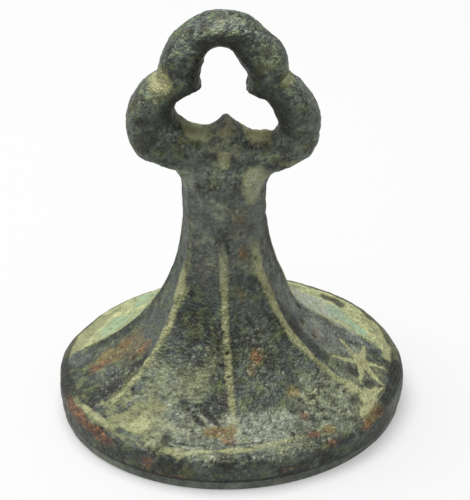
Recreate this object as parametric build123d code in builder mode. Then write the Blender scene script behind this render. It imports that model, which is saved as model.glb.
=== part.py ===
from build123d import *

import os
from math import acos, asin, atan2, cos, degrees, hypot, radians, sin, sqrt

# Wax seal stamp: a round engraved die plate under a flared eight-sided stem with a
# trefoil loop handle. Millimetres, +Z up along the stem, origin at the centre of the
# die's flat face, loop in the XZ plane, front towards -Y.

# Foot of the stem: a rounded rim, given by its widest radius and by how far its belly and
# its upper edge lie above the seat and inside that radius
rim_radius = 10.0
rim_belly_rise = 0.7
foot_edge_rise = 1.6
foot_edge_setback = 0.4

# Die plate, whose edge stands back a little from the rim
die_setback = 0.25
die_thickness = 0.75
die_edge_chamfer = 0.12
die_stud_radius = 2.0
die_stud_length = 1.8

# Engraving on the die: two border rings, and a rosette of pointed petals inside them
engraving_depth = 0.35
border_margin = 0.85
border_groove_width = 0.35
border_band_width = 2.35
petal_count = 6
petal_start_radius = 0.6
petal_length = 4.4
petal_width = 1.9

# Solder seams: film thickness at both joints, and how far a film stops short of the edge
solder_gap = 0.1
solder_recess = 0.12

# Stem: the waist lies above the foot's seat, and the neck above the waist
waist_rise = 11.55
neck_length = 2.6

# Facets: four lie towards the front and back, and four towards the sides. Each is given by
# the angle between its normal and the front, and by its distance from the axis at the
# waist. Its foot lies inside the rim, and its neck leans in or out over the neck's length
front_facet_angle = 26.0
front_facet_setback = 1.5
front_facet_waist = 2.3
front_neck_taper = 0.2
side_facet_angle = 70.0
side_facet_setback = 0.65
side_facet_waist = 2.2
side_neck_flare = 0.18

# Trefoil loop: outer lobes. Rises are counted from the centres of the two side lobes
loop_depth = 3.0
side_lobe_radius = 3.45
side_lobe_offset = 1.98
side_lobe_lift = 0.05
top_lobe_radius = 3.7
top_lobe_rise = 2.7
outer_notch_radius = 0.5
outer_edge_radius = 1.05

# Trefoil loop: an opening of two round eyes below an arch, with cusps between them
eye_radius = 1.25
eye_offset = 1.7
eye_rise = 0.2
cusp_tip_rise = 0.4
arch_half_width = 1.3
arch_foot_rise = 1.9
arch_wall_length = 1.45
inner_edge_chamfer = 0.5

# Collar and tenon that carry the loop in the stem
collar_height = 2.3
collar_front_taper = 1.0
collar_side_taper = 0.4
tenon_radius = 1.1
tenon_length = 2.2

# Radii worked out from the sizes above
die_radius = rim_radius - die_setback
foot_edge_radius = rim_radius - foot_edge_setback
blank_radius = rim_radius + foot_edge_setback
border_outer_radius = die_radius - border_margin
border_inner_radius = border_outer_radius - border_groove_width - border_band_width
petal_middle_radius = petal_start_radius + petal_length / 2
petal_end_radius = petal_start_radius + petal_length

# Heights worked out from the stack of pieces
foot_seat_height = die_thickness + solder_gap
rim_belly_height = foot_seat_height + rim_belly_rise
foot_edge_height = foot_seat_height + foot_edge_rise
waist_height = foot_seat_height + waist_rise
stem_top_height = waist_height + neck_length
collar_seat_height = stem_top_height + solder_gap
side_lobe_height = collar_seat_height + side_lobe_lift + side_lobe_radius
top_lobe_height = side_lobe_height + top_lobe_rise
eye_height = side_lobe_height + eye_rise
cusp_tip_height = side_lobe_height + cusp_tip_rise
arch_foot_height = side_lobe_height + arch_foot_rise
arch_spring_height = arch_foot_height + arch_wall_length

# Distances of the facets from the axis at the foot and at the top of the neck
front_facet_foot = rim_radius - front_facet_setback
front_facet_top = front_facet_waist - front_neck_taper
side_facet_foot = rim_radius - side_facet_setback
side_facet_top = side_facet_waist + side_neck_flare

# Bearings of the eight facets from the front, turning towards +X
facet_bearings = (
    front_facet_angle,
    side_facet_angle,
    180 - side_facet_angle,
    180 - front_facet_angle,
    180 + front_facet_angle,
    180 + side_facet_angle,
    360 - side_facet_angle,
    360 - front_facet_angle,
)


def facet_normal(bearing):
    """Outward normal of a facet at this bearing from the front, towards +X."""
    return Vector(sin(radians(bearing)), -cos(radians(bearing)), 0)


def octagon(front, side):
    """Corners of the stem's section, whose facets lie at these distances from the axis."""
    distances = [front, side, side, front] * 2
    corners = []
    for i in range(len(facet_bearings)):
        n, d = facet_normal(facet_bearings[i - 1]), distances[i - 1]
        m, e = facet_normal(facet_bearings[i]), distances[i]
        cross = n.X * m.Y - n.Y * m.X
        corners.append(((d * m.Y - e * n.Y) / cross, (e * n.X - d * m.X) / cross))
    return corners


def flare_radius(foot, waist):
    """Radius of the arc that leaves the waist upright and reaches the foot's edge."""
    reach = foot - waist
    drop = waist_height - foot_edge_height
    return (reach**2 + drop**2) / (2 * reach)


def eye_tangent(x, z, side):
    """Point where a line from (x, z) touches the right-hand eye of the opening."""
    across = eye_offset - x
    rise = eye_height - z
    distance = hypot(across, rise)
    run = sqrt(distance**2 - eye_radius**2)
    bearing = atan2(rise, across) + side * asin(eye_radius / distance)
    return (x + run * cos(bearing), z + run * sin(bearing))


# Die plate: engraved disc with a round stud that locates it in the stem
with BuildPart() as die_plate:
    with BuildSketch():
        Circle(die_radius)
    extrude(amount=die_thickness)
    chamfer(die_plate.edges().filter_by(GeomType.CIRCLE), die_edge_chamfer)
    with BuildSketch(Plane.XY.offset(die_thickness)):
        Circle(die_stud_radius)
    extrude(amount=die_stud_length)
    with BuildSketch():
        for radius in (border_outer_radius, border_inner_radius):
            Circle(radius)
            Circle(radius - border_groove_width, mode=Mode.SUBTRACT)
        with BuildSketch(mode=Mode.PRIVATE) as petal:
            with BuildLine():
                point = (petal_start_radius, 0)
                tip = (petal_end_radius, 0)
                ThreePointArc(point, (petal_middle_radius, petal_width / 2), tip)
                ThreePointArc(point, (petal_middle_radius, -petal_width / 2), tip)
            make_face()
        with PolarLocations(0, petal_count):
            add(petal.sketch)
    extrude(amount=engraving_depth, mode=Mode.SUBTRACT)
die_plate.part.label = "die_plate"

# Solder seam under the stem: a film over the die plate, up the stud and over its end
with BuildPart() as die_solder:
    with BuildSketch(Plane.XY.offset(die_thickness)):
        Circle(die_radius - die_edge_chamfer - solder_recess)
    extrude(amount=solder_gap)
    with BuildSketch(Plane.XY.offset(die_thickness)):
        Circle(die_stud_radius + solder_gap)
    extrude(amount=die_stud_length + solder_gap)
    with BuildSketch(Plane.XY.offset(die_thickness)):
        Circle(die_stud_radius)
    extrude(amount=die_stud_length, mode=Mode.SUBTRACT)
die_solder.part.label = "die_solder"

# Stem: each pair of opposite facets is one flared profile carried straight through, and
# the stem is what the four of them and the turned rim have in common
facet_pairs = (
    (front_facet_angle, front_facet_foot, front_facet_waist, front_facet_top),
    (-front_facet_angle, front_facet_foot, front_facet_waist, front_facet_top),
    (side_facet_angle, side_facet_foot, side_facet_waist, side_facet_top),
    (-side_facet_angle, side_facet_foot, side_facet_waist, side_facet_top),
)
with BuildPart() as stem:
    with BuildSketch(Plane.XZ):
        with BuildLine():
            belly = ThreePointArc(
                (die_radius, foot_seat_height),
                (rim_radius, rim_belly_height),
                (foot_edge_radius, foot_edge_height),
            )
            Polyline(
                belly @ 1,
                (foot_edge_radius, stem_top_height),
                (0, stem_top_height),
                (0, foot_seat_height),
                belly @ 0,
            )
        make_face()
    revolve(axis=Axis.Z)
    for bearing, foot, waist, top in facet_pairs:
        normal = facet_normal(bearing)
        bend = flare_radius(foot, waist)
        sweep = degrees(acos((waist + bend - blank_radius) / bend))
        with BuildSketch(Plane((0, 0, 0), x_dir=normal, z_dir=normal.cross(Vector(0, 0, 1)))):
            with BuildLine():
                flare = CenterArc((waist + bend, waist_height), bend, 180, sweep)
                Polyline(flare @ 0, (top, stem_top_height), (0, stem_top_height))
                Polyline(flare @ 1, (blank_radius, foot_seat_height), (0, foot_seat_height))
                mirror(about=Plane.YZ)
            make_face()
        extrude(amount=blank_radius, both=True, mode=Mode.INTERSECT)
    with BuildSketch(Plane.XY.offset(foot_seat_height)):
        Circle(die_stud_radius + solder_gap)
    extrude(amount=die_stud_length, mode=Mode.SUBTRACT)
    with BuildSketch(Plane.XY.offset(stem_top_height)):
        Circle(tenon_radius + solder_gap)
    extrude(amount=-tenon_length, mode=Mode.SUBTRACT)
stem.part.label = "stem"

# Solder seam under the loop: a film over the stem's top, down the tenon and under its end
with BuildPart() as loop_solder:
    with BuildSketch(Plane.XY.offset(stem_top_height)):
        Polygon(*octagon(front_facet_top - solder_recess, side_facet_top - solder_recess), align=None)
    extrude(amount=solder_gap)
    with BuildSketch(Plane.XY.offset(collar_seat_height)):
        Circle(tenon_radius + solder_gap)
    extrude(amount=-(tenon_length + solder_gap))
    with BuildSketch(Plane.XY.offset(collar_seat_height)):
        Circle(tenon_radius)
    extrude(amount=-tenon_length, mode=Mode.SUBTRACT)
loop_solder.part.label = "loop_solder"

# Trefoil loop: three round lobes about a cusped opening, on a collar with a tenon below
with BuildPart() as trefoil_loop:
    with BuildSketch(Plane.XZ) as trefoil:
        with Locations((0, top_lobe_height)):
            Circle(top_lobe_radius)
        with Locations((-side_lobe_offset, side_lobe_height), (side_lobe_offset, side_lobe_height)):
            Circle(side_lobe_radius)
        with Locations((0, side_lobe_height)):
            Rectangle(2 * side_lobe_offset, side_lobe_radius, align=(Align.CENTER, Align.MAX))
        fillet(trefoil.vertices().group_by(Axis.Y)[-1], outer_notch_radius)
        with BuildSketch(mode=Mode.PRIVATE) as opening:
            with BuildLine():
                arch = CenterArc((0, arch_spring_height), arch_half_width, 0, 90)
                wall = Line(arch @ 0, (arch_half_width, arch_foot_height))
                brow = Line(wall @ 1, eye_tangent(arch_half_width, arch_foot_height, 1))
                cheek = Line((0, cusp_tip_height), eye_tangent(0, cusp_tip_height, -1))
                ThreePointArc(brow @ 1, (eye_offset + eye_radius, eye_height), cheek @ 1)
                mirror(about=Plane.YZ)
            make_face()
        add(opening.sketch, mode=Mode.SUBTRACT)
    extrude(amount=loop_depth / 2, both=True)
    for face in trefoil_loop.faces().filter_by(Axis.Y):
        fillet(face.outer_wire().edges(), outer_edge_radius)
    for face in trefoil_loop.faces().filter_by(Axis.Y):
        chamfer(face.inner_wires()[0].edges(), inner_edge_chamfer)
    with BuildSketch(Plane.XY.offset(collar_seat_height)):
        Polygon(*octagon(front_facet_top, side_facet_top), align=None)
    collar_front = front_facet_top - collar_front_taper
    collar_side = side_facet_top - collar_side_taper
    with BuildSketch(Plane.XY.offset(collar_seat_height + collar_height)):
        Polygon(*octagon(collar_front, collar_side), align=None)
    loft()
    with BuildSketch(Plane.XY.offset(collar_seat_height)):
        Circle(tenon_radius)
    extrude(amount=-tenon_length)
trefoil_loop.part.label = "trefoil_loop"

os.makedirs("parts", exist_ok=True)
export_step(die_plate.part, "parts/die_plate.step")
export_step(die_solder.part, "parts/die_solder.step")
export_step(stem.part, "parts/stem.step")
export_step(loop_solder.part, "parts/loop_solder.step")
export_step(trefoil_loop.part, "parts/trefoil_loop.step")
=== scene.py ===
"""Old wax seal stamp in cast bronze, dressed for the render.

A round die below, a stem of eight hollow facets that flares down to it, and a trefoil loop on top.
The meshes are worked out with numpy in millimetres and go into Blender in metres.
"""
import logging
import math
from dataclasses import dataclass, field
from enum import Enum
from typing import Any

import bpy
import numpy as np
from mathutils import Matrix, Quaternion, Vector


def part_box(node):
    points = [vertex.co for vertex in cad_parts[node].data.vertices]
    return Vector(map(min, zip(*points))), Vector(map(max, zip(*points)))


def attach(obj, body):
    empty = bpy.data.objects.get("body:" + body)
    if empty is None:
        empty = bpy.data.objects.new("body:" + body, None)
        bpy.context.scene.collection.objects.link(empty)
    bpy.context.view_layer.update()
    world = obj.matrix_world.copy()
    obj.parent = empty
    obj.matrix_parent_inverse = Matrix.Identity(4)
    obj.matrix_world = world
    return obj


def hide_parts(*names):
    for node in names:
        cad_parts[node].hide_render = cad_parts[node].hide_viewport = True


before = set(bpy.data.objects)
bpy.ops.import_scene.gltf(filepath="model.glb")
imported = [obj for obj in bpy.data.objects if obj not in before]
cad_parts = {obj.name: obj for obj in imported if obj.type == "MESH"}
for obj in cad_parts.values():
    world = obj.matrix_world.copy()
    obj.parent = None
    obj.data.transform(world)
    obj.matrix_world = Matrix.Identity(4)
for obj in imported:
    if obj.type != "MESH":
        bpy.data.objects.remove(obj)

LOG = logging.getLogger("wax_seal_stamp")
MM = 0.001
FULL_TURN = 2.0 * math.pi
UPRIGHT = np.array([0.0, 0.0, 1.0])
IMAGE_HEIGHT = 500
BODY = "root"
# Share of strength that each layer of a rough pattern keeps, and the step from its seed to the next
LAYER_STRENGTH = 0.55
LAYER_SEED_STEP = 17
# Noise at which a pit starts and is full
PIT_LIMITS = (0.62, 1.05)


class Mark(Enum):
    """Marks on the bronze skin, kept as point attributes that the finishes read."""

    WORN = "worn"
    CRUST = "crust"
    TURQUOISE = "turquoise"
    OCHRE = "ochre"
    RUST = "rust"
    # Darkening: pits and crevices, and painted shade in seams, on inner walls and as dark outlines
    DARK = "dark"
    # Grit: granular grain and relief, and where the painted glints go
    GRIT_AND_GLINTS = "grit"
    FILM = "film"
    BLOOM = "bloom"


Marks = dict[Mark, np.ndarray]


def smooth_step(low: Any, high: Any, value: np.ndarray) -> np.ndarray:
    """Smooth rise of a value, 3 t squared less 2 t cubed, where t is its clipped share of the way.

    Args:
        low: Value at which the rise is 0.
        high: Value at which the rise is 1. It may lie below low, which makes a fall.
        value: Values to look up.

    Returns:
        The rise from 0 to 1 at each value.
    """
    share = np.clip((value - low) / (high - low), 0.0, 1.0)
    return share * share * (3.0 - 2.0 * share)


def bell(value: np.ndarray, middle: float, width: float) -> np.ndarray:
    """Bell curve round a middle: e to the power of less the squared share of its width."""
    return np.exp(-(((value - middle) / width) ** 2))


def unit_circle(columns: int) -> np.ndarray:
    """Points of a level circle of radius 1, from the front towards +X."""
    bearing = np.linspace(0.0, FULL_TURN, columns, endpoint=False)
    return np.stack([np.sin(bearing), -np.cos(bearing), np.zeros(columns)], axis=-1)


def lattice_value(cells: np.ndarray, seed: int) -> np.ndarray:
    """Steady pseudo-random number of each whole-number cell, by mixing the bits of its indices.

    Args:
        cells: Whole-number cell indices, with three in the last axis.
        seed: Number that picks one of many patterns.

    Returns:
        A value from -1 to 1 for each cell.
    """
    index = cells.astype(np.int64).astype(np.uint32)
    mixed = index[..., 0] * np.uint32(0x8DA6B343)
    mixed = mixed ^ (index[..., 1] * np.uint32(0xD8163841))
    mixed = mixed ^ (index[..., 2] * np.uint32(0xCB1AB31F))
    mixed = mixed + np.uint32((seed * 0x9E3779B1) & 0xFFFFFFFF)
    for shift, factor in ((15, 0x2C1B3C6D), (12, 0x297A2D39), (15, 0x85EBCA6B)):
        mixed = (mixed ^ (mixed >> np.uint32(shift))) * np.uint32(factor)
    mixed = mixed ^ (mixed >> np.uint32(16))
    return mixed.astype(np.float64) / 2147483647.5 - 1.0


def lattice_noise(points: np.ndarray, size: float, seed: int) -> np.ndarray:
    """Smooth noise: the eight corner numbers of each point's cell, blended by smooth shares.

    Args:
        points: Points in mm, with x, y and z in the last axis.
        size: Edge of a cell in mm.
        seed: Number that picks the pattern.

    Returns:
        A value from -1 to 1 for each point.
    """
    scaled = points / size
    corner = np.floor(scaled)
    share = smooth_step(0.0, 1.0, scaled - corner)
    total = np.zeros(points.shape[:-1])
    for step in np.ndindex(2, 2, 2):
        weight = np.prod(np.where(np.array(step) == 1, share, 1.0 - share), axis=-1)
        total += weight * lattice_value(corner + np.array(step), seed)
    return total


class Pattern(Enum):
    """Steady rough patterns on the pieces: cell of the first layer in mm, seed and number of layers."""

    RIM_WAVES = (2.4, 11, 3)
    RIM_NICKS = (0.7, 12, 3)
    STEM_EDGES = (0.9, 21, 3)
    STEM_FLECKS = (0.32, 22, 2)
    STEM_FLAKES = (2.2, 24, 3)
    STEM_DENTS = (3.1, 31, 2)
    STEM_GRAIN = (0.9, 32, 3)
    STEM_PITS = (0.7, 33, 3)
    LOOP_EDGES = (0.9, 41, 3)
    LOOP_FLECKS = (0.34, 42, 2)
    LOOP_PITS = (0.8, 43, 3)
    LOOP_DENTS = (2.2, 44, 2)
    LOOP_GRAIN = (0.8, 45, 3)
    DIE_RIPPLES = (1.6, 51, 3)
    DIE_EDGES = (1.2, 52, 3)

    def on(self, points: np.ndarray) -> np.ndarray:
        """Sum of noise layers, each half the size and a bit over half the strength of the one before.

        Args:
            points: Points in mm, with x, y and z in the last axis.

        Returns:
            A value of about -1 to 1 for each point.
        """
        size, seed, layers = self.value
        total = np.zeros(points.shape[:-1])
        for layer in range(layers):
            noise = lattice_noise(points, size / 2.0**layer, seed + LAYER_SEED_STEP * layer)
            total += LAYER_STRENGTH**layer * noise
        return total


def bare_marks(shape: Any) -> Marks:
    """Marks of a surface with nothing on it yet."""
    return {mark: np.zeros(shape) for mark in Mark}


def lay(marks: Marks, mark: Mark, share: np.ndarray) -> None:
    """Lays a share of a mark on a surface; where it is there already, the greater share stays."""
    marks[mark] = np.maximum(marks[mark], share)


@dataclass
class Skin:
    """A closed surface in mm, with its faces and the marks on it."""

    points: np.ndarray
    quads: np.ndarray
    triangles: np.ndarray
    marks: Marks = field(default_factory=dict)

    def mesh(self, name: str, unit: float) -> bpy.types.Mesh:
        """Blender mesh of the surface, smooth shaded, with a point attribute for each mark.

        Args:
            name: Name of the mesh.
            unit: Length of one mm in the mesh's own units.

        Returns:
            The new mesh.
        """
        mesh = bpy.data.meshes.new(name)
        faces = self.quads.tolist() + self.triangles.tolist()
        mesh.from_pydata(self.points * unit, [], faces, shade_flat=False)
        for mark, values in self.marks.items():
            layer = mesh.attributes.new(mark.value, "FLOAT", "POINT")
            layer.data.foreach_set("value", np.clip(values, 0.0, 1.0).astype(np.float32))
        mesh.validate()
        return mesh

    def piece(self, name: str, slot: str, node: str, finish: "PatinatedBronze") -> None:
        """Adds the surface to the scene, in metres, riding on the body for a solid of the frame.

        Args:
            name: Name of the piece.
            slot: Material slot of the record that it takes its finish from. It is not used.
            node: Solid that it stands for.
            finish: Finish of the bronze.
        """
        piece = bpy.data.objects.new(name, self.mesh(name, MM))
        bpy.context.scene.collection.objects.link(piece)
        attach(piece, BODY)
        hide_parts(node)
        piece.data.materials.append(finish.material())
        LOG.info("%s: %d points, %d faces", name, len(self.points), len(self.quads) + len(self.triangles))


def ring_skin(rings: np.ndarray) -> Skin:
    """Closed surface through rings of points: quads between rings, and a fan over each end ring.

    Args:
        rings: Points by ring and by place on the ring, counterclockwise seen from the last ring.

    Returns:
        The closed surface, facing outwards, with the two end middles as its last two points.
    """
    rows, columns = rings.shape[:2]
    place = np.arange(rows * columns).reshape(rows, columns)
    turned = np.roll(place, -1, axis=1)
    quads = np.stack([place[:-1], turned[:-1], turned[1:], place[1:]], axis=-1).reshape(-1, 4)
    first = np.full(columns, rows * columns)
    last = first + 1
    fans = [np.stack([first, turned[0], place[0]], axis=-1), np.stack([last, place[-1], turned[-1]], axis=-1)]
    middles = np.stack([rings[0].mean(axis=0), rings[-1].mean(axis=0)])
    return Skin(np.concatenate([rings.reshape(-1, 3), middles]), quads, np.concatenate(fans))


def ring_normals(rings: np.ndarray) -> np.ndarray:
    """Outward unit normals of a ring grid: the step round the ring crossed with the step up the rings.

    Args:
        rings: Points by ring and by place on the ring.

    Returns:
        A unit normal for each point.
    """
    around = np.roll(rings, -1, axis=1) - np.roll(rings, 1, axis=1)
    upwards = np.gradient(rings, axis=0)
    normals = np.cross(around, upwards)
    return normals / np.maximum(np.linalg.norm(normals, axis=-1, keepdims=True), 1e-9)


@dataclass(frozen=True)
class Ridge:
    """One worn ridge of the stem: bearings in degrees from the front towards +X, widths in mm.

    The bow is how far it swings out between foot and neck, most of all a third of the way up. The fade
    is the share of the way up at which its pale band starts to die out.
    """

    neck: float
    foot: float
    neck_width: float
    foot_width: float
    wear: float
    bow: float = 0.0
    fade: float = 0.84


RIDGES = (
    Ridge(neck=-5.8, foot=2.8, neck_width=0.40, foot_width=0.52, wear=1.0, bow=-0.6),
    Ridge(neck=38.5, foot=60.5, neck_width=0.62, foot_width=0.46, wear=1.05, bow=0.8),
    Ridge(neck=78.0, foot=88.0, neck_width=0.28, foot_width=0.40, wear=0.85, bow=13.5),
    Ridge(neck=134.0, foot=131.0, neck_width=0.30, foot_width=0.36, wear=0.6),
    Ridge(neck=180.0, foot=180.0, neck_width=0.32, foot_width=0.40, wear=0.8),
    Ridge(neck=225.0, foot=219.0, neck_width=0.30, foot_width=0.36, wear=0.6),
    Ridge(neck=268.0, foot=262.0, neck_width=0.28, foot_width=0.30, wear=0.5, bow=-5.0),
    Ridge(neck=302.0, foot=304.8, neck_width=0.56, foot_width=0.38, wear=1.05, bow=2.0, fade=0.62),
)
# Shares of a patch's half size at which it ends and is full
PATCH_END = 1.35
PATCH_FULL = 0.65
# One over the greatest value of p times the square of 1 less p, which is the shape of a bow
BOW_SCALE = 6.75
# Crust on the facet after each ridge
FACET_COATS = (0.0, 0.0, 1.0, 0.9, 0.9, 1.0, 0.0, 0.0)
STAR_CENTRE = (7.55, -1.6)
# Angle in degrees and length in mm of each ray
STAR_RAYS = ((-92.0, 1.55), (-53.0, 1.9), (6.0, 1.25), (80.0, 1.7), (129.0, 1.75), (200.0, 1.7))


def ridge_sizes(name: str) -> np.ndarray:
    """One size of all the ridges, in their order."""
    return np.array([getattr(ridge, name) for ridge in RIDGES])


def patch_share(reach: np.ndarray, strength: float) -> np.ndarray:
    """Share of a mark by the distance from its patch's middle, where 1 is the patch's half size."""
    return strength * smooth_step(PATCH_END, PATCH_FULL, reach)


@dataclass(frozen=True)
class Patch:
    """A mark on the stem: bearing in degrees, rise above the rim's edge and half sizes in mm.

    Then come its strength, how ragged its edge is and its lean in degrees.
    """

    bearing: float
    rise: float
    across: float
    along: float
    strength: float = 1.0
    ragged: float = 0.45
    lean: float = 0.0


@dataclass(frozen=True)
class LoopPatch:
    """A mark on the loop: its middle and half sizes in mm, its strength and how ragged its edge is."""

    middle: tuple[float, float, float]
    reach: tuple[float, float, float]
    strength: float
    ragged: float = 0.4


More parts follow.
